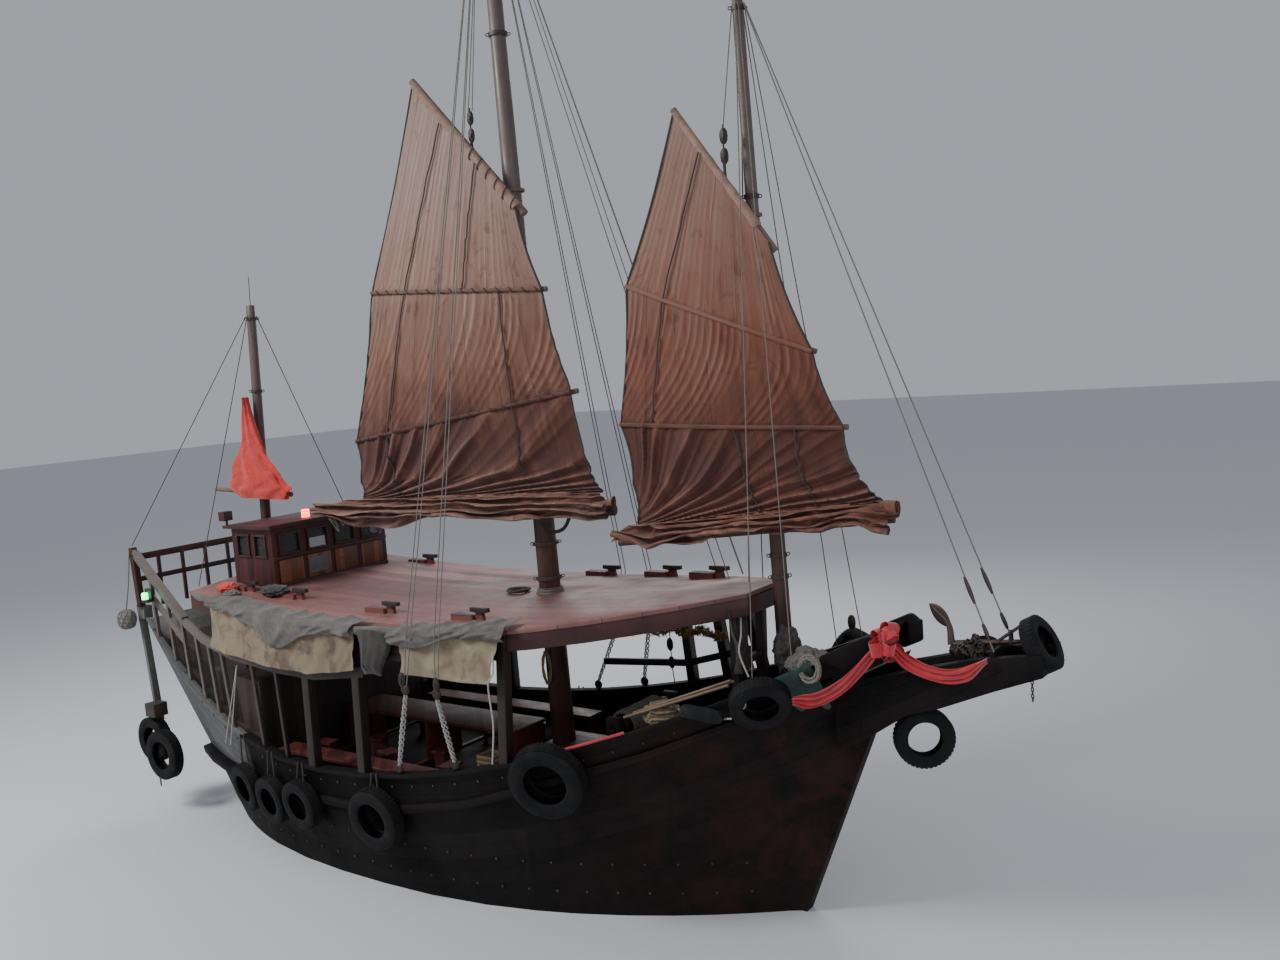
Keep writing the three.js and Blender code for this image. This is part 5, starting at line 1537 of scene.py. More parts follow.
SAILS = (
    LugSail("main", MAIN,
            (Spar((-0.32, 10.15), (1.47, 12.42), 0.075), Spar((-0.58, 9.0), (2.68, 9.275), 0.042),
             Spar((-0.96, 7.44), (3.29, 6.89), 0.042), Spar((-1.44, 5.62), (4.15, 5.74), 0.085)),
            ((-0.23, 10.26, 1.4, 12.33), (-0.52, 9.0, 2.62, 9.27), (-0.89, 7.43, 3.23, 6.9),
             (-1.13, 6.33, 3.16, 6.22), (-1.33, 5.91, 3.15, 5.95)),
            0.18, Look.MAIN_SAIL, (5.6, 8.0), 27.9, 1.7, 0.26, 4.1,
            ((0.03, 2.0, 0.72, 0.83), (2.0, 4.0, 0.83, 0.8), (1.0, 4.0, 0.22, 0.27), (0.03, 1.0, 0.38, 0.42)),
            True, (0.45, 0.1)),
    LugSail("fore", FORE,
            (Spar((-0.33, 9.13), (0.96, 11.17), 0.062), Spar((-0.8, 7.77), (1.9, 8.9), 0.038),
             Spar((-1.16, 6.76), (2.17, 6.99), 0.038), Spar((-1.7, 5.56), (2.32, 5.29), 0.072)),
            ((-0.29, 9.24, 0.92, 11.11), (-0.76, 7.78, 1.86, 8.9), (-1.11, 6.76, 2.12, 6.98),
             (-1.25, 6.22, 1.96, 6.12), (-1.6, 5.78, 1.95, 5.56)),
            0.15, Look.FORE_SAIL, (4.1, 7.5), 19.1, 5.2, 0.22, 3.4,
            ((0.03, 2.0, 0.72, 0.84), (2.0, 4.0, 0.45, 0.47), (2.0, 4.0, 0.2, 0.24)), False, (0.7, 0.15)),
)


@dataclass
class Mizzen:
    """The mizzen's red sail, lowered and bunched on its short boom: (fore, aft, height) down its outline."""

    outline: tuple[Place, ...] = (
        (0.07, 0.07, 7.7), (-0.06, 0.12, 7.35), (-0.2, 0.18, 6.95), (-0.33, 0.3, 6.6), (-0.52, 0.45, 6.35),
        (-0.7, 0.54, 6.14), (-0.86, 0.56, 6.02), (-0.8, 0.5, 5.93), (-0.78, 0.3, 5.8))

    def build(self) -> None:
        """Makes the bunched sail as one gathered cloth that hangs round its hoist."""
        levels, last = 60, len(self.outline) - 1
        rings: list[Ring] = []
        for i in range(levels + 1):
            place = i / levels * last
            k = min(int(place), last - 1)
            fore, aft, z = (lerp(a, b, place - k) for a, b in zip(self.outline[k], self.outline[k + 1]))
            middle, half = (fore + aft) / 2, (aft - fore) / 2 + 0.02
            ring = []
            for turn in angles(48):
                fold = 1 + 0.22 * sin(turn * 7 + 2.5 * sin(i * 0.13))
                fold += 0.3 * wave(cos(turn) * 2, sin(turn) * 2, i * 0.09)
                ring.append(MIZZEN.swung(middle + half * cos(turn) * lerp(1, fold, 0.35),
                                         0.25 + 0.075 * sin(turn) * fold, z))
            rings.append(ring)
        dress = Dress(Look.RED_SAIL, "mizzen_sail_set", "red_sailcloth", sharp=SHARP_HEAP,
                      replaces=["sail_mizzen"])
        dress.make("mizzen_furled_sail", skin(rings))


# Rigging

@dataclass
class Rigging:
    """Shrouds, stays, halyards and their blocks."""

    shroud: float = 0.013
    thin: float = 0.008
    stay_foot: Place = (9.25, 0.33, 4.02)

    def on_rail(self, x: float, side: int) -> Vector:
        """A chain plate on the rail."""
        z = LINES.sheer(x)
        return Vector((x, side * (LINES.half(x, z) - 0.03), z - 0.02))

    def on_roof(self, x: float, side: int, inset: float) -> Vector:
        """A ring bolt on the roof."""
        y = side * (LINES.roof_half(x) - inset)
        return Vector((x, y, LINES.roof(x, y) + 0.06))

    def line(self, mast: Mast, head: float, points: Sequence[Vector], radius: float) -> Shape:
        """A taut line from a mast to its foot through bends.

        Args:
            mast: The mast.
            head: The height at which it starts.
            points: Its bends and its foot.
            radius: Its radius.

        Returns:
            The line.
        """
        start = mast.at(head)
        way = (points[0] - start).to_2d().normalized() * (mast.radius(head) + 0.02)
        path = [start + Vector((way.x, way.y, 0)), *points]
        full = [a.lerp(b, k / 12) for a, b in zip(path, path[1:]) for k in range(12)]
        return tube([*full, path[-1]], radius, 6)

    def build(self) -> None:
        """Makes the lines of the three masts and their blocks."""
        main, fore, mizzen, falls = Shape(), Shape(), Shape(), Shape()
        blocks: list[Vector] = []
        for side in (-1, 1):
            for edge, middle in ((1.45, 1.32), (2.02, 1.96)):
                for shift in (0.0, 0.09):
                    over = Vector((edge + shift, side * 2.6, 4.15))
                    block_at = Vector((middle + shift * 0.5, side * 2.61, 3.36))
                    main.add(self.line(MAIN, 15.3, [over, block_at], self.thin))
                blocks.append(Vector((middle + 0.02, side * 2.61, 3.36)))
        for head, foot, radius in ((15.3, self.on_roof(4.95, 1, 0.16), self.shroud),
                                   (15.0, self.on_roof(4.3, 1, 0.2), self.thin),
                                   (15.25, Vector((4.9, 0.7, 4.52)), self.thin)):
            main.add(self.line(MAIN, head, [foot], radius))
        Dress(Look.HEMP, "hull", "rope", replaces=["rigging_main"]).make("main_stays", main)
        for z, out in ((14.75, -0.03), (14.8, 0.05)):
            falls.add(self.line(MAIN, z, [MAIN.swung(0.48, 0.24, 11.8) + Vector((out, 0, 0))], self.thin))
        Dress(Look.HEMP, "main_sail_set", "rope").make("main_halyard_falls", falls)
        fall = self.line(FORE, 12.3, [FORE.swung(0.24, 0.24, 10.8)], self.thin)
        Dress(Look.HEMP, "fore_sail_set", "rope").make("fore_halyard_fall", fall)
        for side in (-1, 1):
            for x in (6.35, 6.85):
                fore.add(self.line(FORE, 12.4, [self.on_rail(x, side)], self.thin))
            x, y, z = self.stay_foot
            fore.add(self.line(FORE, 12.4, [Vector((x, side * y, z))], self.thin + 0.002))
        Dress(Look.HEMP, "hull", "rope", replaces=["rigging_fore"]).make("fore_stays", fore)
        for side in (-1, 1):
            for foot in (Vector((-7.04, side * 1.56, 5.04)), self.on_roof(-4.48, side, 0.15)):
                mizzen.add(self.line(MIZZEN, 9.2, [foot], self.thin))
        Dress(Look.DARK_ROPE, "hull", "rope", replaces=["rigging_mizzen"]).make("mizzen_stays", mizzen)
        self.lanyards(blocks)

    def lanyards(self, blocks: Sequence[Vector]) -> None:
        """Adds the deadeyes and the white lashings that set the main shrouds up to the rail.

        Args:
            blocks: Where the shrouds end.
        """
        lashing = Shape()
        eyes: list[Matrix] = []
        for at in blocks:
            foot = self.on_rail(0.86 if at.x < 1.6 else 1.96, 1 if at.y > 0 else -1)
            for k in range(3):
                strand = []
                for i in range(41):
                    turn = tau * (k / 3 + i / 40 * 4)
                    wide = 0.02 + 0.012 * sin(pi * i / 40)
                    centre = (at - UP * 0.08).lerp(foot + UP * 0.14, i / 40)
                    strand.append(centre + Vector((cos(turn), sin(turn), 0)) * wide)
                lashing.add(tube(strand, 0.013, 6))
            eyes += [Matrix.Translation(place) @ ON_SIDE for place in (at, foot + UP * 0.1)]
        piece(Look.WHITE_ROPE, "rope", "shroud_lashings", lashing)
        eye = lathe([(0.0, -0.03), (0.05, -0.03), (0.078, -0.012), (0.07, 0.0), (0.078, 0.012), (0.05, 0.03),
                     (0.0, 0.03)], Matrix.Identity(4), 20)
        REPEAT.make("deadeyes", eye, eyes, Dress(Look.DARK_POST, "hull", "dark_wood"))


# Fenders

@dataclass
class Tyre:
    """A worn tyre hung as a fender, with its tread blocks."""

    name: str
    place: Matrix
    radius: float
    wide: float
    node: str

    def profile(self) -> list[tuple[float, float]]:
        """The closed section: bead, sidewall, shoulder and tread."""
        r, w = self.radius, self.wide / 2
        inner = r * 0.56
        half = [(inner, 0.78 * w), (inner + 0.02, 0.9 * w), (r * 0.7, 0.99 * w), (r * 0.82, w),
                (r * 0.9, 0.93 * w), (r * 0.965, 0.78 * w), (r * 0.985, 0.5 * w), (r * 0.99, 0.0)]
        lower = [(a, -b) for a, b in reversed(half[:-1])]
        hollow = [(inner + 0.012, -0.62 * w), (r * 0.86, -0.6 * w), (r * 0.9, 0.0), (r * 0.86, 0.6 * w),
                  (inner + 0.012, 0.62 * w)]
        return half + lower + hollow

    def build(self, replaces: bool) -> None:
        """Makes the carcass and the tread.

        Args:
            replaces: Whether this piece stands for its solid.
        """
        dress = Dress(Look.RUBBER, "hull", "tyre_rubber", replaces=[self.node] if replaces else [])
        dress.make(self.name, lathe(self.profile(), self.place, 56))
        w = self.wide / 2
        unit = Shape()
        for low, high, lean in ((-0.74, -0.3, 0.006), (-0.24, 0.24, -0.006), (0.3, 0.74, 0.006)):
            unit.add(board((-0.004, lean, low * w), (-0.004, -lean, high * w), 0.042, 0.016,
                           Vector((1, 0, 0))))
        out = Matrix.Translation((self.radius * 0.985, 0, 0))
        places = [self.place @ Matrix.Rotation(a, 4, "Z") @ out
                  for a in angles(int(tau * self.radius / 0.062))]
        REPEAT.make(f"{self.name}_tread", unit, places, Dress(Look.RUBBER, "hull", "tyre_rubber", 0.003))


class Fenders:
    """All tyres and the ropes that hold them: name, place, side, radius, width and solid."""

    SIDE = (("tyre_bow", 6.41, 3.44, -1, 0.41, 0.23, "tyre_bow"),
            ("tyre_fore", 3.54, 2.26, -1, 0.555, 0.29, "tyre_fore"),
            ("tyre_waist", 0.37, 1.28, -1, 0.495, 0.26, "tyre_waist"),
            ("tyre_aft_1", -1.45, 1.18, -1, 0.415, 0.23, "tyres_aft"),
            ("tyre_aft_2", -2.33, 1.08, -1, 0.415, 0.23, "tyres_aft"),
            ("tyre_aft_3", -3.2, 1.12, -1, 0.415, 0.23, "tyres_aft"),
            ("tyre_bow_port", 6.41, 3.44, 1, 0.41, 0.23, "tyre_bow_port"),
            ("tyre_waist_port", 0.37, 1.28, 1, 0.495, 0.26, "tyre_waist_port"))
    ENDS = (("tyre_beak_tip", (9.72, 0, 4.08), Matrix.Rotation(radians(62), 4, "Y"), 0.355,
             0.21, "tyre_beak_tip"),
            ("tyre_under_beak", (8.15, 0, 2.72), Matrix.Rotation(radians(34), 4, "Z") @ ON_SIDE, 0.395, 0.22,
             "tyre_under_beak"),
            ("tyre_stern_1", (-6.74, -1.72, 1.33), ON_SIDE, 0.44, 0.24, "tyres_stern"),
            ("tyre_stern_2", (-6.27, -1.85, 1.13), ON_SIDE, 0.47, 0.24, "tyres_stern"))
    STAND = 0.062

    def build(self) -> None:
        """Hangs the tyres along the sides, at the beak and at the stern."""
        ropes = Shape()
        stood: set[str] = set()
        for name, x, z, side, radius, wide, node in self.SIDE:
            slope = (LINES.half(x + 0.2, z) - LINES.half(x - 0.2, z)) / 0.4
            flare = (LINES.half(x, z + 0.2) - LINES.half(x, z - 0.2)) / 0.4
            out = Vector((-slope, side, -flare)).normalized()
            centre = LINES.side(x, z, side) + out * (wide / 2 + self.STAND)
            turn = UP.rotation_difference(out).to_matrix().to_4x4()
            Tyre(name, Matrix.Translation(centre) @ turn, radius, wide, node).build(node not in stood)
            stood.add(node)
            rail = LINES.sheer(x)
            top = Vector((x, side * (LINES.half(x, rail) + 0.05), rail + 0.03))
            for shift in (-0.05, 0.05):
                ropes.add(tube([centre + Vector((shift * 2, 0, radius * 0.6)),
                                top + Vector((shift, 0, 0))], 0.014, 7))
        for name, at, turn, radius, wide, node in self.ENDS:
            Tyre(name, Matrix.Translation(at) @ turn, radius, wide, node).build(node not in stood)
            stood.add(node)
        piece(Look.DARK_ROPE, "rope", "tyre_ropes", ropes)


# Hung and lashed cloth

def settle_cloth(obj: Object, held: Sequence[int], slack: float, frames: int = 32) -> None:
    """Lets a cloth fall from the points that hold it, and keeps the result as its mesh.

    Args:
        obj: The flat cloth.
        held: The points that stay.
        slack: How much larger than its flat outline the cloth is, as a share.
        frames: How long it falls.
    """
    obj.vertex_groups.new(name="held").add(list(held), 1.0, "REPLACE")
    fall = obj.modifiers.new("fall", "CLOTH")
    cloth = fall.settings
    cloth.quality, cloth.mass, cloth.vertex_group_mass = 6, 0.25, "held"
    cloth.tension_stiffness = cloth.compression_stiffness = 14
    cloth.shear_stiffness, cloth.bending_stiffness, cloth.shrink_min = 6, 0.3, -slack
    fall.point_cache.frame_start, fall.point_cache.frame_end = 1, frames
    for step in range(1, frames + 1):
        bpy.context.scene.frame_set(step)
    plain_mesh(obj)
    bpy.context.scene.frame_set(1)


@dataclass
class Banner:
    """A canvas hung on the starboard side, from the roof's edge to its own lower hem."""

    name: str
    ends: tuple[float, float]
    hem: Callable[[float], float]
    finish: Finish
    seed: float
    cell: float = 0.045
    stand: float = 0.068
    rows: int = 18

    def point(self, x: float, drop: float) -> Vector:
        """A place on the flat banner, at a share of its drop.

        Args:
            x: How far forward it is.
            drop: Its share of the way down.

        Returns:
            The place.
        """
        edge = LINES.roof_half(x)
        foot = LINES.rail(x)[1] if x < 0.26 else lerp(2.45, 2.38, (x - 0.26) / 2.6)
        y = lerp(edge, foot, drop) + self.stand
        ripple = 0.012 * wave(x * 4, drop * 2, self.seed)
        return Vector((x, -y - abs(ripple), lerp(LINES.roof(x, edge), self.hem(x), drop)))

    def build(self) -> None:
        """Hangs the banner by its top edge and its lower corners, and adds its creases."""
        start, end = self.ends
        places = grid(self.rows, int((end - start) / self.cell), lambda v,
                      t: self.point(lerp(start, end, t), v))
        obj = Dress(self.finish).object(self.name, skin(places, False))
        flat = {tuple(round(k, 4) for k in v.co): i for i, v in enumerate(obj.data.vertices)}
        pinned = places[0] + [row[i] for row in (places[-1], places[self.rows // 2]) for i in (0, -1)]
        settle_cloth(obj, [flat[tuple(round(k, 4) for k in p)] for p in pinned], 0.035)
        for vertex in obj.data.vertices:
            x, z = min(max(vertex.co.x, start), end), vertex.co.z
            drop = (LINES.roof(x, LINES.roof_half(x)) - z) / 0.8
            limit = self.point(x, min(1.0, max(0.0, drop))).y
            vertex.co.y = min(max(vertex.co.y, limit - 0.1), limit + 0.012)
            x = vertex.co.x
            slant = ridge(x * 1.2 + z * 1.3, z * 0.8,
                          self.seed) * 1.6 + ridge(x * 2.4 - z * 1.9, z, self.seed + 3)
            vertex.co.y -= 0.028 * slant + 0.009 * ridge(x * 5.2 + z * 3.1, z * 2.0, self.seed + 6)
        dress = Dress(self.finish, "hull", "canvas", thick=0.004, sharp=SHARP_CLOTH, smooth_levels=1)
        declare(dress.settle(obj), end - start, 2)


@dataclass
class SideCanvas:
    """The two banners, the tarpaulin rolled up above them and its loose folds."""

    def roll(self, ends: tuple[float, float], radius: float, seed: float) -> Shape:
        """A rolled tarpaulin along the roof's edge.

        Args:
            ends: Its two ends in x.
            radius: Its usual radius.
            seed: The start of its lumps.

        Returns:
            The shape.
        """
        rings = []
        steps = int((ends[1] - ends[0]) / 0.035)
        for i in range(steps + 1):
            x = lerp(*ends, i / steps)
            edge = LINES.roof_half(x)
            centre = Vector((x, -edge - 0.05, LINES.roof(x, edge) + 0.015 + 0.05 * wave(x * 1.3, 0, seed)))
            taper = 0.55 + 0.45 * sin(pi * min(1, i / 6, (steps - i) / 6) / 2)
            ring = []
            for a in angles(28):
                lump = wave(x * 2.5, cos(a) * 1.4, sin(a) * 1.4 + seed)
                fold = ridge(a / tau * 5 + 0.7 * sin(x * 2.2 + seed), x * 1.4, seed + 2)
                r = radius * taper * (1 + 0.35 * lump + 0.3 * fold)
                ring.append(centre + Vector((0, cos(a) * r, sin(a) * r * 0.85)))
            rings.append(ring)
        return skin(rings)

    def flap(self, ends: tuple[float, float], drop: Callable[[float], float], seed: float) -> Shape:
        """A loose fold that lies on the roof's edge and hangs over it.

        Args:
            ends: Its two ends in x.
            drop: How far it hangs down at each share of its length.
            seed: The start of its wrinkles.

        Returns:
            The shape.
        """

        def place(v: float, t: float) -> Vector:
            """A place of the fold.

            Args:
                v: Share of the way over the edge.
                t: Share of the way along it.

            Returns:
                The place.
            """
            x = lerp(*ends, t)
            edge = LINES.roof_half(x)
            rise = ridge(x * 2.2 + v * 1.3, v * 1.5, seed) * 0.05 + ridge(x * 5 - v * 2, v, seed + 3) * 0.02
            if v < 0.3:
                y = edge + 0.1 - (0.3 - v) * 1.1
                return Vector((x, -y, LINES.roof(x, min(y, edge)) + 0.075 + rise * 0.8))
            fall = (v - 0.3) / 0.7
            out = 0.125 + 0.03 * sin(fall * 3) + rise
            z = LINES.roof(x, edge) + 0.07 - fall * (0.06 + drop(t))
            return Vector((x, -edge - out - 0.03 * fall, z))

        return skin(grid(24, int((ends[1] - ends[0]) / 0.03), place), False)

    def build(self) -> None:
        """Makes the banners, the roll and the folds."""
        Banner("banner_aft", (-3.7, 0.18), lambda x: LINES.rail(x)[0] + 0.06, Look.TAN, 3.1).build()
        Banner("banner_fore", (1.18, 2.88), lambda _: 3.56, Look.CREAM, 8.2).build()
        dress = Dress(Look.TARP, "hull", "canvas", sharp=SHARP_HEAP, replaces=["side_canvas"])
        dress.make("rolled_tarp", self.roll((-4.3, 2.92), 0.062, 1.7))
        folds = self.flap((-3.65, 0.2), lambda t: 0.36 * exp(-((t - 0.52) / 0.16) ** 2) + 0.07, 4.4)
        folds.add(self.flap((1.0, 3.0), lambda t: 0.1 + 0.06 * sin(t * 7), 6.1))
        thin = Dress(Look.TARP, "hull", "canvas", thick=0.005, sharp=SHARP_CLOTH)
        declare(thin.make("loose_tarp", folds), 5.9, 2)
        self.bag()

    def bag(self) -> None:
        """Makes the dark cloth that hangs in a bunch between the banners."""
        rings = []
        for i in range(30):
            v = i / 29
            centre = Vector((0.62 + 0.05 * sin(v * 5), -2.5 - 0.02 * v, lerp(4.16, 3.5, v)))
            wide = lerp(0.36, 0.2, smooth(v))
            deep = lerp(0.05, 0.1, smooth(v * 2)) * (1 - 0.7 * smooth(v * 4 - 3))
            ring = []
            for a in angles(40):
                fold = 1 + 0.5 * ridge(cos(a) * 3.4, v * 0.7, 5.5)
                ring.append(centre + Vector((cos(a) * wide, sin(a) * deep * fold, 0.02 * sin(a * 3))))
            rings.append(ring)
        heap_of(Look.DARK_CANVAS, "hung_bunch", skin(rings), SHARP_HEAP)


# The bow

def crumpled(centre: Place, size: Place, seed: float) -> Shape:
    """A heap of crumpled canvas.

    Args:
        centre: Its middle.
        size: Half its size each way.
        seed: The start of its folds.

    Returns:
        The shape.
    """
    lump = bmesh.new()
    bmesh.ops.create_icosphere(lump, subdivisions=5, radius=1.0)
    points = []
    for vertex in lump.verts:
        p = vertex.co
        fold = ridge(p.x * 0.9 + p.z * 0.4, p.y * 1.1, seed) * 0.16
        fold += ridge(p.z * 2.2, p.x * 1.4 + p.y, seed + 5) * 0.15
        fold += ridge(p.x * 3.1 + p.y * 2, p.z * 4.4, seed + 9) * 0.1
        fold += ridge(p.x * 7, p.z * 6 - p.y * 4, seed) * 0.04
        points.append(Vector(tuple(c + q * s * (0.78 + fold) for c, q, s in zip(centre, p, size))))
    faces = [tuple(v.index for v in face.verts) for face in lump.faces]
    lump.free()
    return Shape(points, faces, [(0.0, 0.0)] * (3 * len(faces)))


@dataclass
class BowGear:
    """The ribbon and its rosette, the net, the fender, the rope and cloth at the foremast, and a chain."""

    knot: Place = (8.02, -0.7, 4.12)

    def build(self) -> None:
        """Makes every piece of the bow."""
        for make in (self.ribbon, self.rosette, self.net, self.fender, self.foremast_foot, self.curtain,
                     self.chain, self.anchor, self.anchor_chain, self.cheeks, self.heap):
            make()

    def cheeks(self) -> None:
        """Closes the blunt fore ends of both rails with a thick board."""
        boards = Shape()
        for side in (-1, 1):
            rings = []
            for k in range(17):
                x = lerp(7.2, 7.93, k / 16)
                rail = LINES.sheer(x)
                y = LINES.half(x, rail) + 0.02
                low = rail - 0.34 * smooth(k / 10) - 0.02
                top = rail + 0.08 - 0.16 * smooth((k - 10) / 6) ** 2
                rings.append([Vector((x, side * (y + dy), z)) for dy, z in
                              ((0.03, top), (-0.09, top), (-0.09, low), (0.03, low))])
            boards.add(skin(rings))
        Dress(Look.TAR, "hull", "tarred_wood", 0.025).make("rail_cheeks", boards)

    def heap(self) -> None:
        """Lays the poles and the heap of pale canvas by the windlass."""
        poles = Shape()
        for k, lift in enumerate((0.0, 0.05, 0.02)):
            foot, head = (4.2 + 0.1 * k, -1.2 + 0.1 * k, 2.87 + lift), (5.86, -1.02 + 0.07 * k, 3.45 + lift)
            poles.add(tube([foot, head], 0.021, 10))
        piece(Look.BAMBOO, "spar_wood", "loose_poles", poles)
        heap_of(Look.CREAM, "pale_heap", crumpled((4.62, -0.86, 2.86), (0.3, 0.24, 0.2), 4.0))

    def anchor(self) -> None:
        """Makes the stocked anchor that lies on the beak, with a leaf-shaped palm on each arm."""
        crown = Vector((8.56, 0.06, 3.97))
        metal = tube([crown, (9.02, 0.06, 4.03), (9.48, 0.06, 4.08)], lambda t: 0.036 - 0.01 * t, 12)
        metal.add(tube([(9.33, -0.42, 4.18), (9.33, 0.05, 4.182), (9.33, 0.52, 4.18)], 0.022, 12))
        metal.add(tube([(9.33, 0.06, 4.03), (9.33, 0.06, 4.21)], 0.03, 12))
        for mid, tip in (((8.5, 0.13, 4.22), (8.28, 0.2, 4.4)), ((8.76, 0.24, 3.97), (8.98, 0.42, 3.95))):
            metal.add(tube(smooth_path([crown, mid, tip], 8), lambda t: 0.05 - 0.028 * t, 10))
            way = (Vector(tip) - Vector(mid)).normalized()
            side = way.cross(Vector((0, 1, 0.3))).normalized()
            flat = way.cross(side)
            rings = []
            for k in range(13):
                t = k / 12
                wide = 0.105 * sin(pi * min(1, t * 0.97 + 0.03)) ** 0.7 + 0.002
                centre = Vector(mid).lerp(Vector(tip), -0.15 + 1.4 * t)
                rings.append([centre + side * wide * cos(a) + flat * 0.012 * sin(a) for a in angles(12)])
            metal.add(skin(rings))
        for x in (9.5, 9.54):
            metal.add(tube([(x, 0.06 + 0.05 * cos(a), 4.08 + 0.05 * sin(a))
                            for a in angles(16)], 0.011, 8, True))
        Dress(Look.IRON, "hull", "iron", replaces=["anchor"]).make("beak_anchor", metal)

    def anchor_chain(self) -> None:
        """Heaps the anchor's chain on the beak."""
        luck = Random(31)
        link = [(0.045 * cos(a), 0.028 * sin(a), 0.0) for a in angles(14)]
        places = []
        for _ in range(110):
            reach = luck.random() ** 0.5
            turn = luck.uniform(0, tau)
            x, y = 8.86 + 0.27 * reach * cos(turn), 0.02 + 0.22 * reach * sin(turn)
            tilt = tumbled(luck)
            places.append(Matrix.Translation((x, y, 3.9 + luck.uniform(0.0, 0.2) * (1.1 - reach))) @ tilt)
        REPEAT.make("anchor_chain", tube(link, 0.014, 6, True), places,
                    Dress(Look.IRON, "hull", "iron"), 0.1, 6)

    def ribbon(self) -> None:
        """Makes the long ribbon that sags on both sides of its knot."""
        stops = ((6.95, -1.22, 3.42), (7.2, -1.06, 3.42), (7.55, -0.95, 3.62), (7.85, -0.8, 3.95), self.knot,
                 (8.25, -0.66, 3.93), (8.6, -0.58, 3.76), (8.95, -0.53, 3.77), (9.22, -0.46, 3.95))
        path = smooth_path(stops, 14)
        rows = []
        for i, at in enumerate(path):
            t = i / (len(path) - 1)
            near = min(1.0, (at - Vector(self.knot)).length / 0.3)
            wide = lerp(0.05, 0.1, near) * lerp(0.5, 1, smooth(t * 12)) * lerp(0.35, 1, smooth((1 - t) * 9))
            row = []
            for k in range(25):
                s = k / 24 * 2 - 1
                pleat = 0.022 * sin(s * 9 + 2 * sin(t * 11)) + 0.02 * wave(s * 2, t * 14, 3)
                row.append(at + Vector((0, -0.03 + pleat - 0.35 * sin(t * 9) * s * wide, s * wide)))
            rows.append(row)
        declare(self.silk().make("bow_ribbon", skin(rows, False)), 3.2)

    def silk(self) -> Dress:
        """How the ribbon and its loops are made."""
        return Dress(Look.RIBBON, "hull", "red_sailcloth", thick=0.003, sharp=SHARP_CLOTH)

    def rosette(self) -> None:
        """Makes the knot: loops of ribbon that stand out on all sides."""
        luck = Random(7)
        loops = Shape()
        for _ in range(17):
            turn = tumbled(luck)
            reach, wide = luck.uniform(0.16, 0.27), luck.uniform(0.06, 0.095)
            rows = []
            for i in range(17):
                a = tau * i / 16
                out, side = reach * (1 - cos(a)) / 2, 0.0825 * sin(a)
                rows.append([Vector((out, side, s * wide * (0.25 + sin(a / 2)) + 0.01 * sin(a * 3 + s)))
                             for s in (-1, -0.5, 0, 0.5, 1)])
            loops.add(skin(rows, False).moved(Matrix.Translation(self.knot) @ turn))
        self.silk().make("ribbon_rosette", loops)

    def net(self) -> None:
        """Makes the green net that hangs over the rail behind the tyre."""

        def place(v: float, t: float) -> Vector:
            """A place of the net.

            Args:
                v: Share of the way down.
                t: Share of the way forward.

            Returns:
                The place.
            """
            x = lerp(6.62, 7.14, t)
            z = lerp(LINES.sheer(x) + 0.05, 3.22 + 0.08 * sin(t * 12), v)
            out = 0.115 + 0.02 * ridge(x * 6 + z, z * 2, 2.2)
            at = LINES.side(x, min(z, LINES.sheer(x)), -1, out)
            return Vector((at.x, at.y, z))

        dress = Dress(Look.NET, "hull", "canvas", thick=0.006, sharp=SHARP_CLOTH)
        net = dress.make("rail_net", skin(grid(30, 24, place), False))
        declare(net, 0.9, spare=1.03)

    def fender(self) -> None:
        """Makes the slim fender and its rope."""
        a, b = LINES.side(5.55, 3.3, -1, 0.15), LINES.side(6.0, 3.12, -1, 0.17)
        path = [a.lerp(b, k / 16) for k in range(17)]
        body = tube(path, lambda t: 0.085 * (1 - abs(2 * t - 1) ** 6) ** 0.5 + 0.008, 20)
        piece(Look.SKIN, "rope", "slim_fender", body)
        rope = tube([b, b + Vector((0.12, -0.02, 0.02)), LINES.side(6.3, 3.3, -1, 0.2),
                     LINES.side(6.36, 3.6, -1, 0.1)],
                    0.014, 8)
        rope.add(tube([a, LINES.side(5.5, LINES.sheer(5.5), -1, 0.06)], 0.012, 8))
        piece(Look.WHITE_ROPE, "rope", "slim_fender_rope", rope)

    def foremast_foot(self) -> None:
        """Makes the crumpled canvas and the coil of rope at the foot of the foremast."""
        dress = Dress(Look.TARP, "hull", "canvas", sharp=SHARP_CLOTH)
        cloth = dress.make("foremast_canvas", crumpled((6.66, -0.2, 3.62), (0.34, 0.25, 0.22), 6.0))
        heap_of(Look.DARK_CANVAS, "foremast_wrap", crumpled((6.3, -0.14, 3.75), (0.2, 0.18, 0.34), 3.0))
        hook = LINES.side(7.12, LINES.sheer(7.12) - 0.02, -1, 0.1)
        coil = []
        for k in range(150):
            a = tau * k / 24
            r = 0.13 + 0.022 * sin(a * 0.37)
            coil.append(hook + Vector((cos(a) * r, 0.012 * sin(k) - 0.0005 * k, sin(a) * r * 1.15)))
        piece(Look.HEMP, "rope", "foremast_coil", tube(coil, 0.017, 8))

    def curtain(self) -> None:
        """Makes the dark cloth tied back at the roof's forward end."""

        def place(v: float, t: float) -> Vector:
            """A place of the curtain.

            Args:
                v: Share of the way down.
                t: Share of the way across.

            Returns:
                The place.
            """
            waist = 1 - 0.45 * exp(-((v - 0.62) / 0.18) ** 2)
            fold = 0.045 * sin(t * 26 + 1.5 * sin(v * 4)) * (0.4 + v)
            return Vector((5.72 + 0.1 * v + fold, -0.5 + (t - 0.5) * 0.42 * waist, lerp(4.4, 3.52, v)))

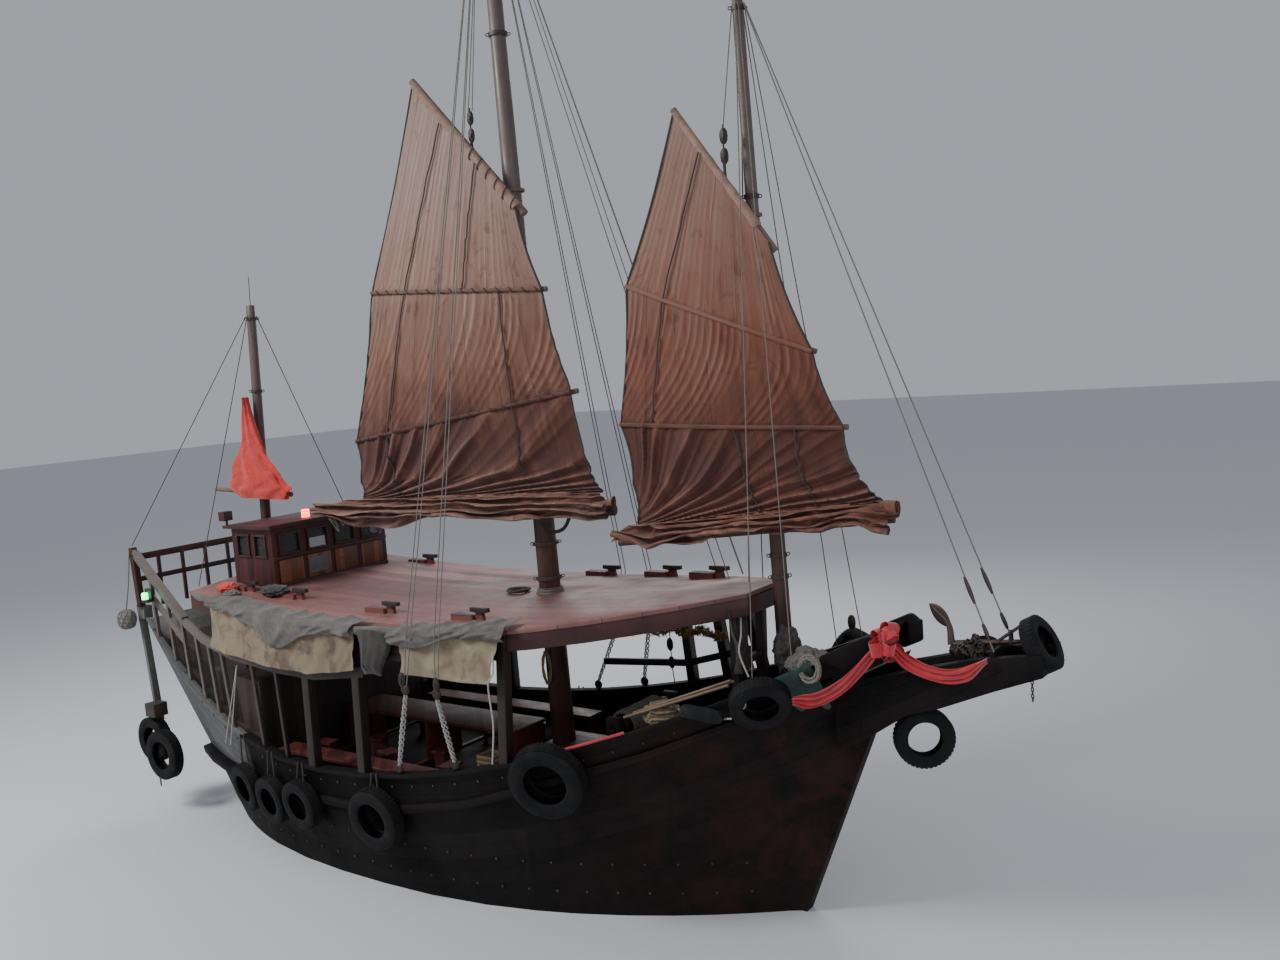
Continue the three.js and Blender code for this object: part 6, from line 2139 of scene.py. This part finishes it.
        dress = Dress(Look.DARK_CANVAS, "hull", "canvas", thick=0.005, sharp=SHARP_CLOTH)
        cloth = dress.make("tied_curtain", skin(grid(32, 30, place), False))
        declare(cloth, 0.95)
        stops = ((5.8, -0.5, 4.3), (5.86, -0.62, 4.05), (5.84, -0.66, 3.8), (6.0, -0.72, 3.5))
        piece(Look.WHITE_ROPE, "rope", "curtain_line", tube(smooth_path(stops, 12), 0.013, 8))

    def chain(self) -> None:
        """Hangs the short chains under the beak's tip and the stern tyres."""
        ring = [(0.0, 0.016 * cos(a), 0.028 * sin(a)) for a in angles(12)]
        places = []
        for top, count in (((9.62, -0.1, 3.66), 7), ((-6.5, -1.86, 0.72), 6)):
            for k in range(count):
                spin = Matrix.Rotation(pi / 2 * (k % 2), 4, "Z")
                places.append(Matrix.Translation(Vector(top) - UP * 0.042 * k) @ spin)
        REPEAT.make("hanging_chain", tube(ring, 0.007, 6, True), places, Dress(Look.IRON, "hull", "iron"))


# The roof, the waist and the wheelhouse

@dataclass
class Waist:
    """What stands and hangs under the roof: beams, garlands, coils, lashings and the windlass's ropes."""

    garland: tuple[float, float] = (1.35, 4.3)
    deck: float = 1.302

    def build(self) -> None:
        """Makes every piece of the waist."""
        for make in (self.beams, self.garlands, self.coils, self.windlass, self.ropes, self.tails, self.tape,
                     self.stools, self.stores, self.roof_cloths):
            make()

    def beams(self) -> None:
        """Lays the beams that carry the roof boards."""
        frames = Shape()
        for k in range(11):
            x = -2.8 + 0.78 * k
            if 1.6 < x < 2.5:
                continue
            half = LINES.roof_half(x) - 0.09
            stations = [half * (j / 4 - 1) for j in range(9)]
            frames.add(skin([[Vector((x + dx, y, LINES.roof(x, y) - 0.063 - dz)) for dx, dz in
                              ((-0.04, 0.0), (0.04, 0.0), (0.04, 0.1), (-0.04, 0.1))] for y in stations]))
        Dress(Look.RED_RAIL, "hull", "red_wood", 0.006).make("roof_beams", frames)

    def garlands(self) -> None:
        """Strings three colours of tinsel along the port eave."""
        luck = Random(12)
        start, end = self.garland
        tuft = Shape()
        for a in angles(5):
            lean = Matrix.Rotation(a, 4, "X") @ Matrix.Rotation(0.6, 4, "Y")
            tuft.add(board((0, 0, 0), (0.0, 0.0, 0.055), 0.012, 0.004, Vector((0, 1, 0))).moved(lean))
        for name, finish in (("red", Look.RIBBON), ("green", Look.TINSEL_GREEN), ("gold", Look.TINSEL_GOLD)):
            places = []
            for _ in range(150):
                t = luck.random()
                x = lerp(start, end, t)
                edge = LINES.roof_half(x) - 0.12
                z = lerp(3.22, 3.56, t) - 0.09 * abs(sin(t * 12)) - luck.uniform(0, 0.09)
                turn = tumbled(luck)
                places.append(Matrix.Translation((x, edge + luck.uniform(-0.03, 0.03), z)) @ turn)
            REPEAT.make(f"garland_{name}", tuft, places, Dress(finish, "hull", "canvas"), 0.4, 3)
        strings = Shape()
        for k in range(7):
            t = k / 6
            x = lerp(start, end, t)
            edge = LINES.roof_half(x) - 0.12
            strings.add(tube([(x, edge, LINES.roof(x, edge) - 0.05),
                              (x, edge, lerp(3.22, 3.56, t) - 0.02)], 0.004, 5))
        piece(Look.DARK_ROPE, "rope", "garland_strings", strings)

    def coils(self) -> None:
        """Hangs a coil on the main mast and lays others at its foot on the roof."""
        hung = []
        for k in range(140):
            a = tau * k / 28
            hung.append(MAIN.at(3.15 + 0.26 * sin(a), 0.02 * sin(k * 0.7), -0.26 + 0.08 * cos(a)))
        piece(Look.YELLOW_ROPE, "rope", "mast_coil", tube(hung, 0.013, 8))
        flat = []
        for k in range(130):
            a = tau * k / 26
            r = 0.13 + 0.012 * (k / 26) + 0.02 * sin(a * 2.3)
            x, y = 1.42 + r * cos(a), -0.1 + r * sin(a)
            flat.append((x, y, LINES.roof(x, y) + 0.014 + 0.0003 * k))
        piece(Look.DARK_ROPE, "rope", "roof_coil", tube(flat, 0.013, 8))
        collar = [MAIN.at(4.285 + 0.012 * k) for k in range(10)]
        boot = tube(collar, lambda t: 0.224 - 0.022 * t + 0.006 * sin(t * 40), 40)
        piece(Look.TARP, "canvas", "mast_boot", boot)

    def stools(self) -> None:
        """Sets stools about the deck and stacks boards by the starboard side."""
        luck = Random(17)
        seat = board((-0.17, 0, 0.43), (0.17, 0, 0.43), 0.26, 0.035)
        for x in (-0.13, 0.13):
            seat.add(board((x, -0.09, 0.2), (x, 0.09, 0.2), 0.03, 0.44))
        seat.add(board((-0.13, 0, 0.14), (0.13, 0, 0.14), 0.03, 0.05))
        places = []
        for x, y in ((-2.2, -1.3), (-1.5, -0.75), (-0.7, -1.25), (0.1, -0.8), (0.75, -1.3), (-1.9, 0.8),
                     (-0.4, 0.9), (0.6, 0.95), (2.9, -1.25), (3.0, 1.1)):
            turn = Matrix.Rotation(luck.uniform(0, tau), 4, "Z")
            places.append(Matrix.Translation((x, y, self.deck)) @ turn)
        REPEAT.make("deck_stools", seat, places, Dress(Look.RED, "hull", "red_wood", 0.004))
        stack = Shape()
        for k in range(6):
            y, turn = -1.72 + luck.uniform(-0.03, 0.03), luck.uniform(-0.08, 0.08)
            z = 1.33 + 0.055 * k
            stack.add(board((2.0 - turn, y - turn, z), (3.1 + turn, y + turn, z), 0.3 - 0.02 * k, 0.045))
        Dress(Look.RED, "hull", "red_wood", 0.004).make("stacked_boards", stack)

    def stores(self) -> None:
        """Sets the slatted crates on the deck."""
        crates = Shape()
        for x, y, z, size in ((1.55, -1.2, self.deck, 0.42), (1.6, -1.25, 1.725, 0.3),
                              (2.4, -0.95, self.deck, 0.36)):
            for k in range(4):
                level = z + size * (k + 0.5) / 4
                for dx, dy in ((1, 0), (-1, 0), (0, 1), (0, -1)):
                    middle = Vector((x + dx * size / 2, y + dy * size / 2, level))
                    run = Vector((abs(dy), abs(dx), 0)) * (size / 2)
                    crates.add(board(middle - run, middle + run, 0.018, size / 4 - 0.02))
            crates.add(block((x - size / 2, y - size / 2, z + 0.01), (x + size / 2, y + size / 2, z + 0.03)))
        Dress(Look.BAMBOO, "hull", "weathered_wood", 0.003).make("deck_crates", crates)

    def roof_cloths(self) -> None:
        """Lays three folded cloths on the roof."""
        for k, (x, y, size, finish) in enumerate(((-2.85, -1.55, (0.3, 0.2, 0.1), Look.DARK_CANVAS),
                                                  (-3.9, -1.75, (0.22, 0.16, 0.09), Look.RED_SAIL),
                                                  (-3.5, -1.95, (0.2, 0.14, 0.08), Look.TARP)), 1):
            cloth = crumpled((x, y, LINES.roof(x, y) + size[2] * 0.8), size, x)
            heap_of(finish, f"roof_cloth_{k}", cloth)

    def windlass(self) -> None:
        """Winds rope on the drum."""
        ring = [(0.208 * cos(a), 0.0, 0.208 * sin(a)) for a in angles(26)]
        places = [Matrix.Translation((3.65, -0.5 + 0.056 * k, 2.48)) for k in range(16)]
        wound = Dress(Look.HEMP, "windlass_drum", "rope")
        REPEAT.make("drum_rope", tube(ring, 0.029, 8, True), places, wound, 0.02, 9)

    def ropes(self) -> None:
        """Makes the loop that hangs from the main boom."""
        boom = SAILS[0].spars[-1]
        hose = [MAIN.swung(*at)
                for at in ((boom.fore[0] + 0.75, 0.3, 5.62), (-0.5, 0.25, 5.36), (-0.25, 0.2, 5.3),
                                           (-0.1, 0.2, 5.42))]
        loop = tube(smooth_path(hose, 12), 0.028, 10)
        Dress(Look.DARK_ROPE, "main_sail_set", "rope").make("boom_loop", loop)

    def tails(self) -> None:
        """Hangs loose rope ends on the main boom, and lines at the eave and before the roof."""
        luck = Random(21)
        tails, white, dark = Shape(), Shape(), Shape()
        for _ in range(9):
            aft = luck.uniform(2.9, 3.9)
            top = MAIN.swung(aft, luck.uniform(0.2, 0.38), 5.62)
            low = top + Vector((luck.uniform(-0.12, 0.12), luck.uniform(-0.05, 0.05),
                                -luck.uniform(0.12, 0.28)))
            back = MAIN.swung(aft + luck.uniform(0.05, 0.2), 0.3, 5.62)
            tails.add(tube(smooth_path([top, low, back], 10), 0.009, 6))
        Dress(Look.HEMP, "main_sail_set", "rope").make("boom_tails", tails)
        eave = ((3.0, -2.47, 4.0), (3.06, -2.56, 3.75), (2.93, -2.54, 3.55), (2.95, -2.53, 3.0),
                (2.9, -2.56, 2.45))
        white.add(tube(smooth_path(eave, 10), 0.012, 8))
        for foot in ((-3.45, -2.42, 1.9), (-3.3, -2.43, 1.88)):
            white.add(tube([foot, (-2.85, -2.46, 3.3)], 0.01, 8))
        piece(Look.WHITE_ROPE, "rope", "eave_lines", white)
        for y in (0.16, 0.3, 0.42):
            dark.add(tube([FORE.at(12.3, 0, 0.05), (5.35, y * 3, 4.18)], 0.008, 6))
        piece(Look.DARK_ROPE, "rope", "roof_front_lines", dark)

    def tape(self) -> None:
        """Lays the red tape along the rail."""
        path = [LINES.side(x, LINES.sheer(x), -1, 0.075) + UP * 0.035
                for x in [3.75 + 0.12 * k for k in range(9)]]
        piece(Look.RIBBON, "red_sailcloth", "rail_tape", tube(path, 0.018, 8))


@dataclass
class Wheelhouse:
    """Glass, frames, panels and lamps of the wheelhouse."""

    front: float = -3.15
    side: float = -1.3
    windows: tuple[float, ...] = (-0.93, -0.31, 0.31, 0.93)

    def build(self) -> None:
        """Makes every piece of the wheelhouse."""
        glass, frames, panels = Shape(), Shape(), Shape()
        for y in self.windows:
            self.window(glass, frames, Vector((self.front, y, 5.1)), Vector((0, 1, 0)), 0.215, 0.18)
            panels.add(block((self.front + 0.002, y - 0.26, 4.42), (self.front + 0.016, y + 0.26, 4.82)))
        for x, half in ((-3.93, 0.16), (-3.46, 0.15)):
            for side in (self.side, -self.side):
                self.window(glass, frames, Vector((x, side, 5.09)), Vector((1, 0, 0)), half, 0.19)
        for z in (4.38, 4.86):
            frames.add(block((self.front + 0.001, -1.29, z - 0.03), (self.front + 0.026, 1.29, z + 0.03)))
        piece(Look.GLASS, "iron", "windows", glass)
        Dress(Look.RED_RAIL, "hull", "red_wood", 0.003).make("window_frames", frames)
        Dress(Look.PANEL, "hull", "red_wood", 0.003).make("front_panels", panels)
        notice = block((self.front + 0.017, -0.55, 4.48), (self.front + 0.027, -0.12, 4.77))
        Dress(Look.BOX, "hull", "iron", 0.003).make("bare_board", notice)
        self.lamps()

    def window(self, glass: Shape, frames: Shape, centre: Vector, run: Vector, half: float,
               high: float) -> None:
        """Adds a pane and its frame.

        Args:
            glass: The panes so far.
            frames: The frames so far.
            centre: The middle of the window on the wall's outer face.
            run: The way along the wall.
            half: Half its width.
            high: Half its height.
        """
        inward = Vector((-1, 0, 0)) if run.y else Vector((0, -1 if centre.y > 0 else 1, 0))
        pane = centre + inward * 0.025
        glass.add(board(pane - run * half, pane + run * half, 0.006, high * 2))
        out, reach = centre - inward * 0.008, run * (half + 0.03)
        for rise in (-high, high):
            frames.add(board(out - reach + UP * rise, out + reach + UP * rise, 0.03, 0.04))
        for shift in (-half, half):
            at = out + run * shift
            face = Vector((1, 0, 0)) if run.y else Vector((0, 1, 0))
            frames.add(board(at - UP * high, at + UP * high, 0.03, 0.04, face))

    def lamps(self) -> None:
        """Makes the red and green lamps, the floodlight's face and the aerial."""
        glow = [(0.0, 0.0), (0.069, 0.0), (0.072, 0.02), (0.072, 0.125), (0.06, 0.15), (0.0, 0.156)]
        red = lathe(glow, Matrix.Translation((-3.42, -0.3, 5.461)), 28)
        piece(Look.RED_LIGHT, "red_sailcloth", "red_lamp", red)
        green = lathe(glow, Matrix.Translation((-6.2, -1.93, 4.12)) @ Matrix.Scale(0.8, 4), 24)
        piece(Look.GREEN_LIGHT, "iron", "green_lamp", green)
        metal = block((-6.3, -1.95, 4.06), (-6.1, -1.8, 4.118))
        metal.add(block((-6.3, -1.86, 4.1), (-6.1, -1.8, 4.3)))
        for z in (5.52, 5.57, 5.62):
            ring = [(-3.42 + 0.078 * cos(a), -0.3 + 0.078 * sin(a), z) for a in angles(20)]
            metal.add(tube(ring, 0.004, 6, True))
        metal.add(tube([MIZZEN.at(9.36), MIZZEN.at(9.6), MIZZEN.at(9.93)], 0.008, 8))
        for k in range(6):
            metal.add(block((-4.415, -1.42, 5.555 + 0.024 * k), (-4.395, -1.26, 5.563 + 0.024 * k)))
        metal.add(block((-6.68, -1.9, 1.83), (-6.38, -1.62, 2.08)))
        Dress(Look.IRON, "hull", "iron", 0.003).make("lamp_metal", metal)
        piece(Look.GLASS, "iron", "floodlight_face", block((-4.239, -1.415, 5.553), (-4.233, -1.265, 5.688)))


# Small fittings

@dataclass
class Fittings:
    """Bolts, iron bands, blocks and turnbuckles."""

    bands: tuple[tuple[Mast, tuple[float, ...]], ...] = (
        (MAIN, (15.25, 15.55, 12.9, 5.1, 4.55)), (FORE, (12.35, 12.7, 9.9, 5.05, 4.75)),
        (MIZZEN, (9.15, 7.8, 5.9)))

    def build(self) -> None:
        """Makes every small fitting."""
        for make in (self.bolts, self.mast_bands, self.blocks, self.screws, self.round_fender):
            make()

    def bolts(self) -> None:
        """Sets bolt heads along the strakes and rails."""
        head = lathe([(0.0, -0.004), (0.02, -0.004), (0.018, 0.006), (0.008, 0.012), (0.0, 0.013)],
                     Matrix.Identity(4), 8)
        places = []
        for side in (-1, 1):
            for k in range(27):
                x = -4.8 + 0.42 * k
                for z in (0.35, 0.8, LINES.sheer(x) - 0.2):
                    if z < LINES.sheer(x) - 0.1 and x < 5.9:
                        out = Vector((0, side, 0 if z > 0.9 else 0.05))
                        turn = UP.rotation_difference(out).to_matrix().to_4x4()
                        places.append(Matrix.Translation(LINES.side(x, z, side, 0.002)) @ turn)
        REPEAT.make("hull_bolts", head, places, Dress(Look.IRON, "hull", "iron"), 0.15, 4)

    def mast_bands(self) -> None:
        """Puts iron bands round the masts, with eyes for their stays."""
        metal = Shape()
        for mast, heights in self.bands:
            for z in heights:
                r = mast.radius(z)
                place = Matrix.Translation(mast.at(z)) @ Matrix.Rotation(-radians(mast.lean), 4, "Y")
                metal.add(lathe([(r - 0.01, -0.03), (r + 0.012, -0.03), (r + 0.014, 0.0), (r + 0.012, 0.03),
                                 (r - 0.01, 0.03)], place, 32))
                eye = [(r + 0.03 + 0.022 * cos(b), 0.0, 0.022 * sin(b)) for b in angles(10)]
                for k in range(4):
                    turn = Matrix.Rotation(tau * (k / 4 + 0.12), 4, "Z")
                    metal.add(tube(eye, 0.007, 6, True).moved(place @ turn))
        piece(Look.IRON, "iron", "mast_bands", metal)

    def blocks(self) -> None:
        """Hangs wooden blocks in the rigging and at the halyards."""
        shell = [(0.0, -0.11), (0.03, -0.1), (0.055, -0.06), (0.062, 0.0), (0.055, 0.06),
                 (0.03, 0.1), (0.0, 0.11)]
        wheel = [(0.0, -0.045), (0.03, -0.045), (0.035, 0.0), (0.03, 0.045), (0.0, 0.045)]
        unit = lathe(shell, Matrix.Diagonal((1.0, 0.6, 1.0, 1.0)), 18).add(lathe(wheel, ON_SIDE, 16))
        fixed = [Matrix.Translation(p) for p in
                 ((3.18, 1.5, 2.9), (3.17, 1.5, 3.2), (1.3, -2.62, 3.5), (2.0, -2.62, 3.5),
                  (6.71, 1.0, 3.92))]
        REPEAT.make("rope_blocks", unit, fixed, Dress(Look.DARK_POST, "hull", "dark_wood"), 0.1, 2)
        for mast, name, aft, z in ((MAIN, "main", 0.5, 11.1), (FORE, "fore", 0.26, 10.1)):
            body = f"{name}_sail_set"
            strop = tube([mast.swung(aft, 0.24, z - 0.05), mast.swung(aft, 0.24, z + 0.3)], 0.022, 8)
            strop.add(tube([mast.swung(aft, 0.24, z + 0.3),
                            mast.swung(aft - 0.02, 0.24, z + 0.75)], 0.012, 8))
            Dress(Look.DARK_ROPE, body, "rope").make(f"{name}_halyard_strop", strop)
            places = [Matrix.Translation(mast.swung(aft - rise * 0.03, 0.24, z + rise))
                      for rise in (0.34, 0.6)]
            REPEAT.make(f"{name}_halyard_blocks", unit, places, Dress(Look.DARK_POST, body, "dark_wood"))

    def screws(self) -> None:
        """Puts screws at the forestays' feet and rods at the port fall."""
        metal = Shape()
        for side in (-1, 1):
            foot, head = Vector((9.25, side * 0.33, 4.02)), FORE.at(12.4)
            way = (head - foot).normalized()
            at = foot + way * 0.62
            metal.add(tube([at + way * 0.035 * k for k in range(11)],
                           lambda t: 0.016 + 0.013 * sin(pi * t), 10))
            at = foot + way * 0.15
            metal.add(tube([at + way * 0.03 * k for k in range(8)], lambda t: 0.018 + 0.01 * sin(pi * t), 10))
        metal.add(tube([(3.18, 1.5, 3.0), (3.18, 1.5, 3.95)], 0.009, 6))
        metal.add(tube([(3.18, 1.5, 2.85), (3.2, 1.52, 2.55)], 0.009, 6))
        piece(Look.IRON, "iron", "stay_screws", metal)

    def round_fender(self) -> None:
        """Knots a rope net round the hanging fender."""
        centre, r, h = Vector((-7.12, -1.79, 3.65)), 0.165, 0.175

        def on_ball(a: float, b: float, out: float, least: float = 0.0) -> Vector:
            """A place on the ball, or out from it."""
            size = max(least, (r + out) * sin(a) ** 0.6)
            return centre + Vector((size * cos(b), size * sin(b), -(h + out) * cos(a)))

        ball = skin([[on_ball(pi * i / 18, b, 0.0, 0.01) for b in angles(28)] for i in range(19)])
        for turn in angles(10):
            for way in (-1, 1):
                path = [on_ball(pi * i / 20, turn + way * i * 0.09, 0.004) for i in range(1, 20)]
                ball.add(tube(path, 0.008, 6))
        ball.add(tube([centre + UP * 0.17, (-7.09, -1.7, 4.3), (-7.07, -1.62, 4.94)], 0.013, 8))
        Dress(Look.HEMP, "hull", "rope", replaces=["fender_round"]).make("netted_fender", ball)


def main() -> None:
    for part in (Studio(), Timbers(), *SAILS, Mizzen(), Rigging(), Fenders(), SideCanvas(),
                 BowGear(), Waist(), Wheelhouse(), Fittings()):
        LOG.info("making %s", type(part).__name__)
        part.build()
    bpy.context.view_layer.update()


if __name__ == "__main__":
    logging.basicConfig(level=logging.INFO, format="%(message)s")
    main()
